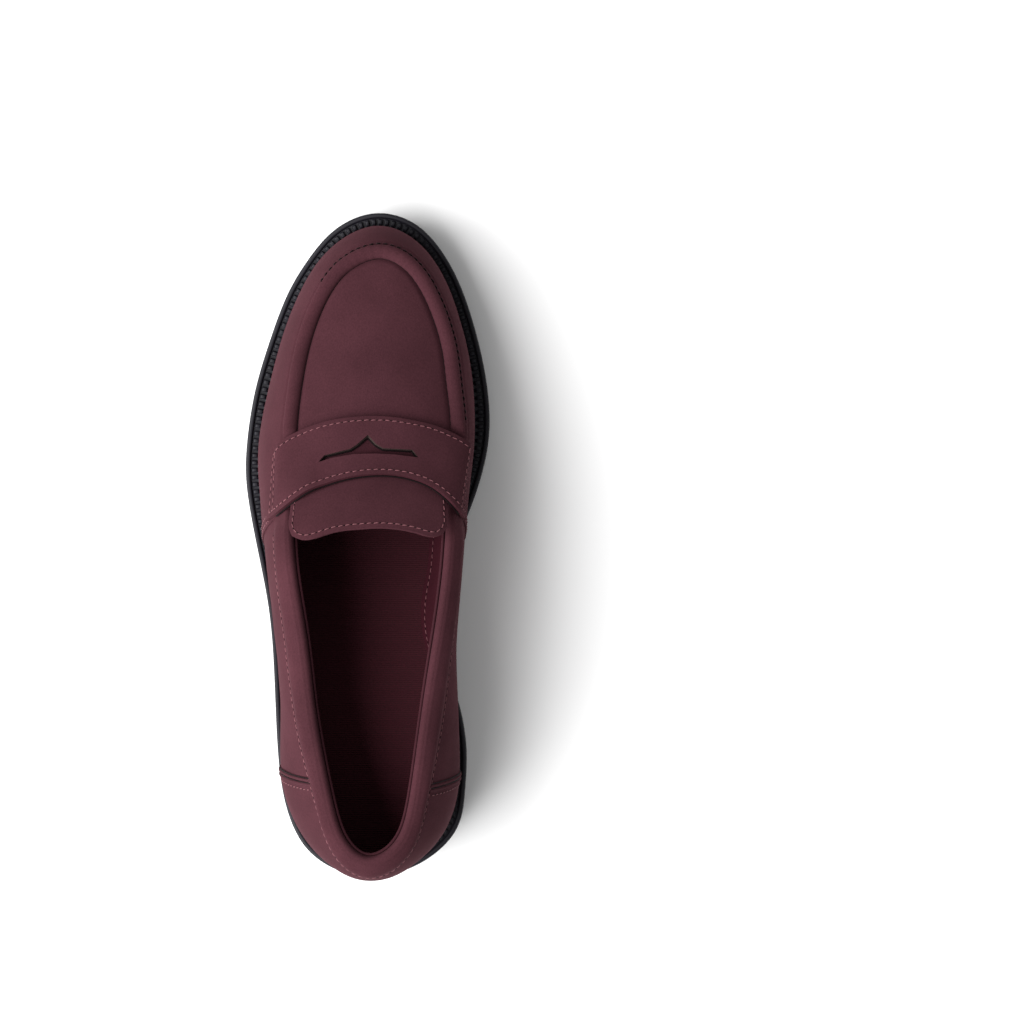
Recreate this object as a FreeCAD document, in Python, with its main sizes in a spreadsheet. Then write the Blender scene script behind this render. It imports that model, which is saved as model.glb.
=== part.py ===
import FreeCAD, Part
import math
import os

# A left penny loafer, in millimetres. +Y points to the toe, +X to the inner (medial) side of the
# foot and +Z up. The origin is on the ground under the middle of the shoe's length and width.
#
# The upper is described by one closed ring of side walls. Each rib of the ring starts on the feather
# line, where the upper meets the welt, and ends on the apron bead in front or on the topline behind.
# The instep over the ring is one arched height field. Leather, stiffeners, foam and linings are layers
# measured inwards from those two surfaces.

Vec = FreeCAD.Vector

DRIVING_SIZES = [
    # alias, value, meaning
    ("ball_height", 13.5, "top of the welt above the ground at the ball"),
    ("heel_rise", 18.5, "extra height of the welt at the heel seat"),
    ("toe_rise", 6.5, "extra height of the welt at the toe tip"),
    ("ball_rear_y", 23.5, "where the sole starts to rise to the heel"),
    ("ball_front_y", 68.5, "where the sole starts to rise to the toe"),
    ("heel_seat_y", -96.5, "front of the level heel seat"),
    ("toe_end_y", 133.8, "tip of the sole"),
    ("welt_thick", 3.4, "rubber welt"),
    ("welt_width", 14.0, "width of the welt ring"),
    ("midsole_thick", 3.9, "midsole"),
    ("ply_gap", 0.05, "glue line between sole layers"),
    ("top_piece_thick", 6.0, "heel top piece"),
    ("heel_breast_y", -58.0, "front face of the heel"),
    ("heel_inset", 1.0, "heel set in from the sole edge"),
    ("shank_long", 92.0, "shank length"),
    ("shank_wide", 14.0, "shank width"),
    ("shank_thick", 1.2, "shank thickness"),
    ("board_thick", 2.0, "insole board"),
    ("footbed_thick", 3.0, "foam footbed"),
    ("sock_thick", 1.0, "sock liner"),
    ("board_inset", 4.3, "insole board edge inside the feather line"),
    ("leather", 1.4, "upper leather"),
    ("stiffener", 1.0, "toe puff and heel counter"),
    ("lining", 0.8, "lining"),
    ("layer_gap", 0.15, "glue line between upper layers"),
    ("bead_half_width", 2.85, "rolled apron bead, half width"),
    ("bead_half_height", 1.7, "rolled apron bead, half height"),
    ("collar_puff", 1.8, "padding height of the collar band"),
    ("rim_radius", 2.0, "roll of the topline"),
    ("binding_radius", 0.6, "topline binding"),
    ("tongue_hinge_y", 14.5, "bend line of the tongue"),
    ("stitch_long", 2.2, "stitch length"),
    ("stitch_wide", 0.7, "stitch width"),
    ("stitch_high", 0.4, "stitch height"),
    ("nail_radius", 1.1, "heel nail"),
    ("nail_long", 13.0, "heel nail length"),
    ("lug_wide", 4.0, "groove between two lugs"),
    ("lug_pitch", 11.0, "distance between lug grooves"),
    ("lug_deep", 1.5, "depth of a lug groove"),
]

doc = FreeCAD.newDocument("PennyLoafer")
sheet = doc.addObject("Spreadsheet::Sheet", "dims")
for row, (alias, value, meaning) in enumerate(DRIVING_SIZES, start=1):
    sheet.set("A%d" % row, alias)
    sheet.set("B%d" % row, str(value))
    sheet.set("C%d" % row, meaning)
    sheet.setAlias("B%d" % row, alias)
doc.recompute()


def size(alias):
    return float(sheet.get(alias))


LEATHER = size("leather")
GAP = size("layer_gap")
LINING = size("lining")
STIFFENER = size("stiffener")
BEAD_WIDTH = 2.0 * size("bead_half_width") + 0.4

# Sole edge seen from above, clockwise from the heel.
SOLE_EDGE = [
    (3.0, -133.8), (-12.2, -130.7), (-24.1, -121.9), (-31.3, -107.5), (-34.7, -89.5),
    (-36.3, -67.5), (-37.7, -44.5), (-40.3, -23.5), (-44.9, -1.5), (-48.7, 18.5),
    (-49.5, 36.5), (-46.3, 60.0), (-40.5, 80.5), (-32.9, 100.5), (-23.7, 115.7),
    (-12.7, 127.5), (3.3, 133.8), (19.9, 129.3), (31.7, 116.5), (39.5, 100.5),
    (45.5, 80.5), (49.1, 60.5), (48.9, 39.0), (42.6, 16.0), (35.5, -1.0),
    (30.9, -16.5), (29.7, -32.5), (31.9, -48.0), (37.2, -63.5), (40.5, -81.5),
    (40.0, -99.5), (36.0, -115.6), (21.5, -128.6),
]

# Ribs of the wall ring, clockwise from the heel: feather x, y; top x, y, z; outward swell low and
# high on the rib. A top height of None lies on the instep surface.
RIBS = [
    (3.0, -128.1, 4.0, -122.6, 87.5, 5.0, 12.0),
    (-20.6, -117.2, -7.9, -114.4, 86.5, 5.0, 10.2),
    (-30.8, -92.5, -14.2, -95.2, 82.5, 7.0, 10.4),
    (-31.2, -64.5, -19.9, -65.5, 77.0, 5.0, 12.0),
    (-33.5, -34.5, -23.7, -36.5, 75.0, 5.0, 12.0),
    (-37.9, -6.5, -28.3, -7.6, 75.0, 4.5, 10.0),
    (-42.3, 18.5, -29.8, 17.5, 65.5, 2.0, 10.0),
    (-43.1, 39.5, -31.6, 39.9, None, 2.0, 9.0),
    (-39.8, 61.5, -30.4, 60.5, None, 1.0, 7.0),
    (-34.5, 82.0, -26.6, 82.0, None, 1.0, 5.5),
    (-27.6, 100.3, -19.4, 100.9, None, 1.0, 4.5),
    (-15.3, 118.6, -9.2, 113.7, None, 1.0, 4.5),
    (4.5, 128.2, 5.3, 119.6, None, 1.0, 4.5),
    (23.2, 119.2, 18.6, 114.9, None, 1.0, 4.5),
    (33.8, 101.0, 28.6, 101.9, None, 1.0, 4.0),
    (39.6, 81.5, 36.1, 81.5, None, 1.0, 4.5),
    (42.7, 61.5, 38.9, 62.5, None, 1.0, 5.0),
    (41.8, 40.5, 40.4, 42.5, None, 2.0, 5.0),
    (37.8, 18.5, 37.3, 18.5, 65.0, 4.5, 6.0),
    (31.5, -7.5, 35.4, -8.0, 74.5, 9.0, 7.0),
    (27.5, -34.5, 31.4, -36.5, 75.0, 12.0, 8.8),
    (31.6, -63.5, 27.0, -63.2, 77.0, 10.5, 11.0),
    (35.4, -91.5, 22.7, -94.5, 82.5, 7.0, 11.2),
    (28.2, -115.5, 17.0, -114.7, 86.5, 4.8, 10.6),
]
RIB_COUNT = len(RIBS)

# Instep surface over the foot: y, height of the ridge, fall from ridge to edge, half width, middle x.
INSTEP = [
    (-6.0, 88.0, 6.0, 30.0, 2.7),
    (6.5, 83.0, 6.0, 31.0, 2.9),
    (18.5, 75.3, 6.8, 33.0, 3.5),
    (28.5, 69.0, 8.5, 35.0, 4.0),
    (40.5, 64.0, 9.0, 36.1, 4.4),
    (58.5, 58.0, 9.0, 34.8, 4.1),
    (78.5, 51.5, 7.0, 31.0, 4.7),
    (98.5, 45.5, 4.5, 24.0, 5.0),
    (115.5, 40.5, 1.5, 18.0, 5.0),
    (128.0, 38.0, 0.6, 18.0, 5.0),
]
INSTEP_POWER = 2.2


# ---------------------------------------------------------------- curves and surfaces

def through(stations, column, at):
    """Smooth value of one column of a station table at the given y."""
    last = len(stations) - 1
    index = 0
    while index < last - 1 and at > stations[index + 1][0]:
        index += 1

    def slope(i):
        low = max(i - 1, 0)
        high = min(i + 1, last)
        return (stations[high][column] - stations[low][column]) / (stations[high][0] - stations[low][0])

    start, end = stations[index], stations[index + 1]
    span = end[0] - start[0]
    f = (at - start[0]) / span
    rest = 1.0 - f
    return (start[column] * rest * rest * (1 + 2 * f) + slope(index) * span * f * rest * rest
            + end[column] * f * f * (3 - 2 * f) - slope(index + 1) * span * f * f * rest)


def feather_height(y):
    """Height of the welt's top: level at the ball, rising to the heel seat and to the toe."""
    height = size("ball_height")
    if y < size("ball_rear_y"):
        f = (size("ball_rear_y") - y) / (size("ball_rear_y") - size("heel_seat_y"))
        f = min(f, 1.0)
        height += size("heel_rise") * f * f * (3 - 2 * f)
    if y > size("ball_front_y"):
        f = (y - size("ball_front_y")) / (size("toe_end_y") - size("ball_front_y"))
        height += size("toe_rise") * f * f
    return height


def instep_height(x, y):
    ridge = through(INSTEP, 1, y)
    fall = through(INSTEP, 2, y)
    across = abs(x - through(INSTEP, 4, y)) / through(INSTEP, 3, y)
    return ridge - fall * across ** INSTEP_POWER


def instep_point(x, y, offset):
    """Point at a distance above the instep surface, along its normal."""
    step = 0.5
    rise_x = (instep_height(x + step, y) - instep_height(x - step, y)) / (2 * step)
    rise_y = (instep_height(x, y + step) - instep_height(x, y - step)) / (2 * step)
    normal = Vec(-rise_x, -rise_y, 1.0).normalize()
    return Vec(x, y, instep_height(x, y)) + normal * offset


def closed_spline(points):
    curve = Part.BSplineCurve()
    curve.interpolate(Points=points, PeriodicFlag=True)
    return curve


def ring_spline(points):
    curve = Part.BSplineCurve()
    curve.interpolate(Points=points, PeriodicFlag=True, Parameters=list(range(len(points) + 1)))
    return curve


UPPER_LIFT = 0.15
FEATHER_RING = ring_spline([Vec(r[0], r[1], feather_height(r[1]) + UPPER_LIFT) for r in RIBS])
TOP_RING = ring_spline([Vec(r[2], r[3], instep_height(r[2], r[3]) if r[4] is None else r[4])
                        for r in RIBS])
LOW_HANDLE = 0.38
HIGH_HANDLE = 0.30


def swell(column, t):
    """Outward swell of the ribs at ring position t, easing from one rib to the next."""
    index = int(math.floor(t))
    f = t - index
    ease = f * f * (3 - 2 * f)
    here = RIBS[index % RIB_COUNT][column]
    ahead = RIBS[(index + 1) % RIB_COUNT][column]
    return here + (ahead - here) * ease


def outward(t):
    """Level direction pointing out of the shoe at ring position t."""
    along = FEATHER_RING.value((t + 0.02) % RIB_COUNT) - FEATHER_RING.value((t - 0.02) % RIB_COUNT)
    return Vec(-along.y, along.x, 0).normalize()


def wall_surface(t, s):
    t = t % RIB_COUNT
    foot = FEATHER_RING.value(t)
    top = TOP_RING.value(t)
    out = outward(t)
    tall = top.z - foot.z
    low = foot + out * swell(5, t) + Vec(0, 0, LOW_HANDLE * tall)
    high = top + out * swell(6, t) - Vec(0, 0, HIGH_HANDLE * tall)
    r = 1.0 - s
    return foot * r ** 3 + low * (3 * s * r * r) + high * (3 * s * s * r) + top * s ** 3


def wall_normal(t, s):
    step = 0.01
    low = max(s - step, 0.0)
    high = min(s + step, 1.0)
    along = wall_surface(t + step, s) - wall_surface(t - step, s)
    up = wall_surface(t, high) - wall_surface(t, low)
    return up.cross(along).normalize()


def wall_point(t, s, offset):
    return wall_surface(t, s) + wall_normal(t, s) * offset


# ---------------------------------------------------------------- solids

def skin(grid):
    surface = Part.BSplineSurface()
    surface.interpolate(grid)
    return surface


def slab(outer_grid, inner_grid):
    """Solid between two grids of points of the same layout."""
    outer = skin(outer_grid)
    inner = skin(inner_grid)
    u0, u1, v0, v1 = outer.bounds()
    iu0, iu1, iv0, iv1 = inner.bounds()
    faces = [outer.toShape(), inner.toShape()]
    for a, b in ((outer.uIso(u0), inner.uIso(iu0)), (outer.uIso(u1), inner.uIso(iu1)),
                 (outer.vIso(v0), inner.vIso(iv0)), (outer.vIso(v1), inner.vIso(iv1))):
        edges = [Part.Wire([curve.toShape()]) for curve in (a, b)]
        faces += Part.makeLoft(edges, False, True).Faces
    shell = Part.makeCompound(faces)
    shell.sewShape(1e-3)
    solid = Part.Solid(shell.Shells[0] if shell.Shells else Part.Shell(faces))
    if solid.Volume < 0:
        solid.reverse()
    return solid


def steps(start, end, count):
    return [start + (end - start) * i / (count - 1) for i in range(count)]


def wall_grid(start, end, low, high, offset, across=9):
    """Grid on the wall ring. start, end, low and high are numbers or functions of s or t."""
    columns = []
    count = max(4, int(abs(value(end, 0.5) - value(start, 0.5)) * 4) + 1)
    for f in steps(0.0, 1.0, count):
        column = []
        for g in steps(0.0, 1.0, across):
            t_guess = value(start, 0.5) + (value(end, 0.5) - value(start, 0.5)) * f
            s = value(low, t_guess) + (value(high, t_guess) - value(low, t_guess)) * g
            t = value(start, s) + (value(end, s) - value(start, s)) * f
            distance = offset(t, s) if callable(offset) else offset
            column.append(wall_point(t, s, distance))
        columns.append(column)
    return columns


def value(number_or_rule, at):
    return number_or_rule(at) if callable(number_or_rule) else number_or_rule


def wall_panel(start, end, low, high, outer, inner, across=9):
    return slab(wall_grid(start, end, low, high, outer, across),
                wall_grid(start, end, low, high, inner, across))


def instep_blank(x_range, y_range, outer, inner):
    """Rectangular slab lying on the instep surface."""
    grids = []
    for offset in (outer, inner):
        grids.append([[instep_point(x, y, offset) for y in steps(y_range[0], y_range[1], 17)]
                      for x in steps(x_range[0], x_range[1], 15)])
    return slab(grids[0], grids[1])


def prism(edges, low, high):
    wire = Part.Wire(edges)
    face = Part.Face(wire)
    face.translate(Vec(0, 0, low))
    return face.extrude(Vec(0, 0, high - low))


def open_spline(points):
    curve = Part.BSplineCurve()
    curve.interpolate(Points=points)
    return curve.toShape()


def tube(path, side, half_wide, half_high, ruled=False):
    """Solid with an oval section along a list of points; side gives the level direction."""
    wires = []
    last = len(path) - 1
    for i, centre in enumerate(path):
        along = (path[min(i + 1, last)] - path[max(i - 1, 0)]).normalize()
        level = side[i] - along * side[i].dot(along)
        level.normalize()
        up = level.cross(along)
        if up.z < 0:
            up = up * -1
        ring = []
        for k in range(8):
            angle = 2 * math.pi * k / 8
            ring.append(centre + level * (half_wide * math.cos(angle))
                        + up * (half_high * math.sin(angle)))
        wires.append(Part.Wire([closed_spline(ring).toShape()]))
    solid = Part.makeLoft(wires, True, ruled)
    if solid.Volume < 0:
        solid.reverse()
    return solid


def stitch_row(places):
    """Small flat stitches lying just above a surface; each place is point, direction, normal."""
    length = size("stitch_long")
    wide = size("stitch_wide")
    high = size("stitch_high")
    lift = 0.12
    pieces = []
    for point, direction, normal in places:
        box = Part.makeBox(length, wide, high, Vec(-length / 2, -wide / 2, lift))
        side = normal.cross(direction)
        box.Placement = FreeCAD.Placement(point, FreeCAD.Rotation(direction, side, normal, "ZXY"))
        pieces.append(box)
    return pieces


def seam_places(curve, count):
    """Places for stitches along a rule that gives point and normal for a fraction of the seam."""
    places = []
    for f in steps(0.0, 1.0, count):
        point, normal = curve(f)
        ahead = curve(min(f + 0.002, 1.0))[0]
        behind = curve(max(f - 0.002, 0.0))[0]
        places.append((point, (ahead - behind).normalize(), normal))
    return places


def wall_seam(start, end, level, offset=0.0):
    """Rule for a seam that runs round the wall ring."""
    def rule(f):
        t = start + (end - start) * f
        s = value(level, t)
        lift = offset(t, s) if callable(offset) else offset
        return wall_point(t, s, lift), wall_normal(t, s)
    return rule


def rib_seam(position, low, high, offset=0.0):
    """Rule for a seam that climbs the wall."""
    def rule(f):
        s = low + (high - low) * f
        t = value(position, s)
        return wall_point(t, s, offset), wall_normal(t, s)
    return rule


def part_feature(name, shape):
    feature = doc.addObject("Part::Feature", name)
    feature.Label = name
    feature.Shape = shape
    feature.Placement = FreeCAD.Placement()
    return feature


# ---------------------------------------------------------------- sole, made as sketches and pads

def origin_plane(body, role):
    return [f for f in body.Origin.OriginFeatures if f.Role == role][0]


def new_sketch(body, name, role):
    sketch = body.newObject("Sketcher::SketchObject", name)
    sketch.AttachmentSupport = [(origin_plane(body, role), "")]
    sketch.MapMode = "FlatFace"
    return sketch


def inset_curve(points, distance):
    """Closed spline at a distance inside a clockwise outline."""
    curve = closed_spline([Vec(x, y, 0) for x, y in points])
    first, last = curve.FirstParameter, curve.LastParameter
    count = 3 * len(points)
    moved = []
    for k in range(count):
        at = first + (last - first) * k / count
        tangent = curve.tangent(at)[0]
        moved.append(curve.value(at) + Vec(tangent.y, -tangent.x, 0) * distance)
    return moved


def heel_outline(distance):
    """Edges of the heel: the sole edge behind the breast, closed by the breast line."""
    breast = size("heel_breast_y")
    rear = [p for p in inset_curve(SOLE_EDGE, distance) if p.y < breast - 2.0]
    medial = sorted([p for p in rear if p.x > 3.0], key=lambda p: -p.y)
    lateral = sorted([p for p in rear if p.x <= 3.0], key=lambda p: p.y)
    chain = medial + lateral
    front_medial = Vec(chain[0].x - 0.5, breast, 0)
    front_lateral = Vec(chain[-1].x - 0.1, breast, 0)
    curve = Part.BSplineCurve()
    curve.interpolate(Points=[front_medial] + chain[1:-1] + [front_lateral])
    return [curve, Part.LineSegment(front_lateral, front_medial)]


def profile_edges(limit_z):
    """Region between the feather line's side profile and a level line, drawn in the YZ plane."""
    rear_y, front_y = -150.0, 150.0
    ball_rear, ball_front = size("ball_rear_y"), size("ball_front_y")
    heel = Part.BSplineCurve()
    heel.interpolate(Points=[Vec(y, feather_height(y), 0) for y in steps(rear_y, ball_rear, 16)])
    toe = Part.BSplineCurve()
    toe.interpolate(Points=[Vec(y, feather_height(y), 0) for y in steps(ball_front, front_y, 9)])
    ground = size("ball_height")
    corners = [Vec(front_y, feather_height(front_y), 0), Vec(front_y, limit_z, 0),
               Vec(rear_y, limit_z, 0), Vec(rear_y, feather_height(rear_y), 0)]
    edges = [heel, Part.LineSegment(Vec(ball_rear, ground, 0), Vec(ball_front, ground, 0)), toe]
    for a, b in zip(corners[:-1], corners[1:]):
        edges.append(Part.LineSegment(a, b))
    return edges


def trim(body, name, drop, above):
    """Cut away everything above or below the side profile lowered by an expression."""
    sketch = new_sketch(body, name + "_profile", "YZ_Plane")
    for edge in profile_edges(90.0 if above else -60.0):
        sketch.addGeometry(edge, False)
    sketch.setExpression("AttachmentOffset.Base.y", "-(%s)" % drop)
    pocket = body.newObject("PartDesign::Pocket", name)
    pocket.Profile = sketch
    pocket.Midplane = True
    pocket.Length = 160.0
    return pocket


def sole_layer(name, outline, top_drop, bottom_drop, low_z=-30.0, high_z=70.0):
    """Pad of an outline, cut to lie between two copies of the side profile."""
    body = doc.addObject("PartDesign::Body", name)
    body.Label = name
    sketch = new_sketch(body, name + "_outline", "XY_Plane")
    for edge in outline:
        sketch.addGeometry(edge, False)
    sketch.AttachmentOffset = FreeCAD.Placement(Vec(0, 0, low_z), FreeCAD.Rotation())
    pad = body.newObject("PartDesign::Pad", name + "_pad")
    pad.Profile = sketch
    pad.Length = high_z - low_z
    doc.recompute()
    volume = pad.Shape.Volume
    for suffix, drop, above in (("_top", top_drop, True), ("_under", bottom_drop, False)):
        if drop is None:
            continue
        cut = trim(body, name + suffix, drop, above)
        doc.recompute()
        if not cut.Shape.Volume < volume:
            raise RuntimeError(name + suffix + " removed nothing")
        volume = cut.Shape.Volume
    return body


def outline_at(distance):
    return closed_spline(inset_curve(SOLE_EDGE, distance))


def feather_outline(distance):
    points = []
    count = 3 * RIB_COUNT
    for k in range(count):
        t = RIB_COUNT * k / count
        p = FEATHER_RING.value(t)
        points.append(Vec(p.x, p.y, 0) - outward(t) * distance)
    return closed_spline(points)


WELT_TOP = "dims.ply_gap"
WELT_BOTTOM = "dims.ply_gap + dims.welt_thick"
MID_TOP = "2 * dims.ply_gap + dims.welt_thick"
MID_BOTTOM = "2 * dims.ply_gap + dims.welt_thick + dims.midsole_thick"
OUT_TOP = "3 * dims.ply_gap + dims.welt_thick + dims.midsole_thick"
OUT_BOTTOM = "dims.ball_height"


def cut_lugs(body):
    """Straight grooves across the tread under the ball, on the level part of the outsole."""
    sketch = new_sketch(body, "lug_groove_outline", "XY_Plane")
    first_y = size("ball_rear_y") + 1.0
    half = 60.0
    wide = size("lug_wide")
    corners = [Vec(-half, first_y, 0), Vec(half, first_y, 0), Vec(half, first_y + wide, 0),
               Vec(-half, first_y + wide, 0)]
    for i in range(4):
        sketch.addGeometry(Part.LineSegment(corners[i], corners[(i + 1) % 4]), False)
    groove = body.newObject("PartDesign::Pocket", "lug_groove")
    groove.Profile = sketch
    groove.setExpression("Length", "dims.lug_deep")
    groove.Reversed = True
    doc.recompute()
    rows = body.newObject("PartDesign::LinearPattern", "lug_rows")
    rows.Originals = [groove]
    rows.Direction = (origin_plane(body, "Y_Axis"), [""])
    rows.Occurrences = 4
    rows.setExpression("Length", "3 * dims.lug_pitch")
    body.Tip = rows
    doc.recompute()


outsole = sole_layer("outsole", [outline_at(0.4)], OUT_TOP, OUT_BOTTOM)
before_lugs = outsole.Shape.Volume
cut_lugs(outsole)
if not outsole.Shape.Volume < before_lugs - 100.0:
    raise RuntimeError("the lug grooves cut nothing")
sole_layer("midsole", [outline_at(0.6)], MID_TOP, MID_BOTTOM)
sole_layer("welt", [outline_at(0.0), outline_at(size("welt_width"))], WELT_TOP, WELT_BOTTOM)


def heel_stack():
    """Heel block under the outsole and the rubber top piece that meets the ground."""
    sole_layer("heel_block", heel_outline(size("heel_inset")),
               OUT_BOTTOM + " + dims.ply_gap", None,
               size("top_piece_thick") + size("ply_gap"), 40.0)
    body = doc.addObject("PartDesign::Body", "heel_top_piece")
    body.Label = "heel_top_piece"
    sketch = new_sketch(body, "heel_top_piece_outline", "XY_Plane")
    for edge in heel_outline(size("heel_inset") + 0.3):
        sketch.addGeometry(edge, False)
    pad = body.newObject("PartDesign::Pad", "heel_top_piece_pad")
    pad.Profile = sketch
    pad.setExpression("Length", "dims.top_piece_thick")


heel_stack()

FILLER_DROP = "0.4 + dims.ply_gap"
SHANK_Y = -46.0


def shank_outline(extra):
    half_long = size("shank_long") / 2 + extra
    half_wide = size("shank_wide") / 2 + extra
    centre_x = 0.0
    straight = half_long - half_wide
    left, right = centre_x - half_wide, centre_x + half_wide
    low, high = SHANK_Y - straight, SHANK_Y + straight
    return [
        Part.LineSegment(Vec(left, low, 0), Vec(left, high, 0)),
        Part.Arc(Vec(left, high, 0), Vec(centre_x, high + half_wide, 0), Vec(right, high, 0)),
        Part.LineSegment(Vec(right, high, 0), Vec(right, low, 0)),
        Part.Arc(Vec(right, low, 0), Vec(centre_x, low - half_wide, 0), Vec(left, low, 0)),
    ]


sole_layer("bottom_filler", [outline_at(size("welt_width") + 0.2)] + shank_outline(0.2),
           FILLER_DROP, WELT_BOTTOM)
sole_layer("shank", shank_outline(0.0), FILLER_DROP, FILLER_DROP + " + dims.shank_thick")

BOARD_UNDER = "-dims.ply_gap"
BOARD_TOP = "-dims.ply_gap - dims.board_thick"
BED_UNDER = "-2 * dims.ply_gap - dims.board_thick"
BED_TOP = "-2 * dims.ply_gap - dims.board_thick - dims.footbed_thick"
SOCK_UNDER = "-3 * dims.ply_gap - dims.board_thick - dims.footbed_thick"
SOCK_TOP = "-3 * dims.ply_gap - dims.board_thick - dims.footbed_thick - dims.sock_thick"
INSET = size("board_inset")
sole_layer("insole_board", [feather_outline(INSET)], BOARD_TOP, BOARD_UNDER)
sole_layer("footbed", [feather_outline(INSET + 0.4)], BED_TOP, BED_UNDER)
sole_layer("sock_liner", [feather_outline(INSET + 0.3)], SOCK_TOP, SOCK_UNDER)


def heel_nails():
    """Ring of nails that hold the heel block to the outsole and midsole."""
    places = [(-18, -70), (22, -70), (-20, -92), (25, -92), (-9, -112), (14, -112)]
    top = size("ball_height") + size("heel_rise") - size("welt_thick") - 2.0
    nails = [Part.makeCylinder(size("nail_radius"), size("nail_long"),
                               Vec(x, y, top - size("nail_long") - (2.0 if y > -80 else 0.0)))
             for x, y in places]
    part_feature("heel_nails", Part.makeCompound(nails))


heel_nails()

# ---------------------------------------------------------------- upper

REAR_SLANT = 0.77


def vamp_rear_lateral(s):
    return 5.08 + REAR_SLANT * s


def vamp_rear_medial(s):
    return 18.92 - REAR_SLANT * s


def shifted(rule, amount):
    return lambda s: rule(s) + amount


def collar_seam(t):
    """Height fraction of the collar's lower seam: it climbs beside the heel and dips at the back."""
    if t > RIB_COUNT / 2:
        t -= RIB_COUNT
    climb = 0.06 * math.exp(-(abs(t) - 1.6) ** 2)
    dip = 0.03 * math.exp(-(t / 0.45) ** 2)
    return 0.80 + climb - dip


def below_collar(t):
    """Top of the quarters and heel panel, just under the collar; full height in front of it."""
    return collar_seam(t) - 0.012


PANEL_GAP = 0.012
HEEL_SEAM_LATERAL = 2.12
HEEL_SEAM_MEDIAL = RIB_COUNT - 2.0
COLLAR_END = 5.64
part_feature("vamp_wall", wall_panel(vamp_rear_lateral, vamp_rear_medial, 0.0, 0.985,
                                     0.0, -LEATHER))
part_feature("quarter_lateral", wall_panel(HEEL_SEAM_LATERAL + PANEL_GAP,
                                           shifted(vamp_rear_lateral, -PANEL_GAP),
                                           0.0, below_collar, 0.0, -LEATHER))
part_feature("quarter_medial", wall_panel(shifted(vamp_rear_medial, PANEL_GAP),
                                          HEEL_SEAM_MEDIAL - PANEL_GAP,
                                          0.0, below_collar, 0.0, -LEATHER))
part_feature("heel_panel", wall_panel(HEEL_SEAM_MEDIAL - RIB_COUNT, HEEL_SEAM_LATERAL,
                                      0.0, below_collar, 0.0, -LEATHER))

INNER = -LEATHER - GAP
COUNTER_END = 3.4
part_feature("heel_counter", wall_panel(-COUNTER_END, COUNTER_END, 0.02, 0.60,
                                        INNER, INNER - STIFFENER))
part_feature("toe_puff", wall_panel(9.4, 14.6, 0.03, 0.90, INNER, INNER - STIFFENER))
LINE = INNER - STIFFENER - GAP
part_feature("vamp_lining", wall_panel(vamp_rear_lateral, vamp_rear_medial, 0.0, 0.84,
                                       LINE, LINE - LINING))
LINING_TOP = 0.96
part_feature("quarter_lining_lateral", wall_panel(
    HEEL_SEAM_LATERAL + PANEL_GAP, shifted(vamp_rear_lateral, -PANEL_GAP), 0.0, LINING_TOP,
    LINE, LINE - LINING))
part_feature("quarter_lining_medial", wall_panel(
    shifted(vamp_rear_medial, PANEL_GAP), HEEL_SEAM_MEDIAL - PANEL_GAP, 0.0, LINING_TOP,
    LINE, LINE - LINING))
part_feature("heel_grip_lining", wall_panel(HEEL_SEAM_MEDIAL - RIB_COUNT, HEEL_SEAM_LATERAL,
                                            0.0, LINING_TOP, LINE, LINE - LINING))


def puff(t, s):
    """Extra height of the padded collar band between its seam and the topline."""
    seam = collar_seam(t % RIB_COUNT)
    f = min(max((s - seam) / (1.0 - seam), 0.0), 1.0)
    return size("collar_puff") * math.sin(math.pi * f) ** 0.8


def collar_column(t, depth):
    """Section of the collar band from its seam, up the side and over the topline."""
    seam = collar_seam(t % RIB_COUNT)
    column = [wall_point(t, s, puff(t, s) - depth) for s in steps(seam, 1.0, 6)]
    normal = wall_normal(t, 1.0)
    level = Vec(normal.x, normal.y, 0).normalize()
    tilt = math.asin(max(min(normal.z, 1.0), -1.0))
    radius = size("rim_radius")
    centre = wall_surface(t, 1.0) - normal * radius
    for angle in steps(tilt, math.radians(150), 4)[1:]:
        arm = level * math.cos(angle) + Vec(0, 0, math.sin(angle))
        column.append(centre + arm * (radius - depth))
    return open_spline(column).discretize(Number=11)


def collar_band():
    positions = steps(-COLLAR_END, COLLAR_END, 47)
    thickness = 0.9
    part_feature("collar_band", slab([collar_column(t, 0.0) for t in positions],
                                     [collar_column(t, thickness) for t in positions]))

    def foam_top(t, s):
        return puff(t, s) - thickness - GAP

    def foam_low(t):
        return collar_seam(t % RIB_COUNT) + 0.03
    part_feature("collar_foam", wall_panel(-COLLAR_END, COLLAR_END, foam_low, 0.93,
                                           foam_top, LINE + GAP, 6))
    path = []
    sides = []
    for t in steps(-COLLAR_END + 0.05, COLLAR_END - 0.05, 45):
        normal = wall_normal(t, 1.0)
        level = Vec(normal.x, normal.y, 0).normalize()
        centre = wall_surface(t, 1.0) - normal * size("rim_radius")
        reach = size("rim_radius") + size("binding_radius") + GAP
        path.append(centre - level * reach)
        sides.append(level)
    part_feature("topline_binding", tube(path, sides, size("binding_radius"),
                                         size("binding_radius"), True))


collar_band()


def seam_piping(name, position):
    """Raised fold along the joint of quarter and heel panel."""
    width = 0.07
    part_feature(name, wall_panel(position - width, position + width, 0.02,
                                  collar_seam(position) - 0.03, 1.1, 0.15, 7))


seam_piping("heel_piping_lateral", HEEL_SEAM_LATERAL)
seam_piping("heel_piping_medial", HEEL_SEAM_MEDIAL)

BEAD_START = 7.20
BEAD_END = 16.82


def inside_top(t, distance):
    """Plan point inside the top of the wall."""
    top = TOP_RING.value(t)
    along = TOP_RING.value(t + 0.02) - TOP_RING.value(t - 0.02)
    out = Vec(-along.y, along.x, 0).normalize()
    return Vec(top.x, top.y, 0) - out * distance, out


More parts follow.
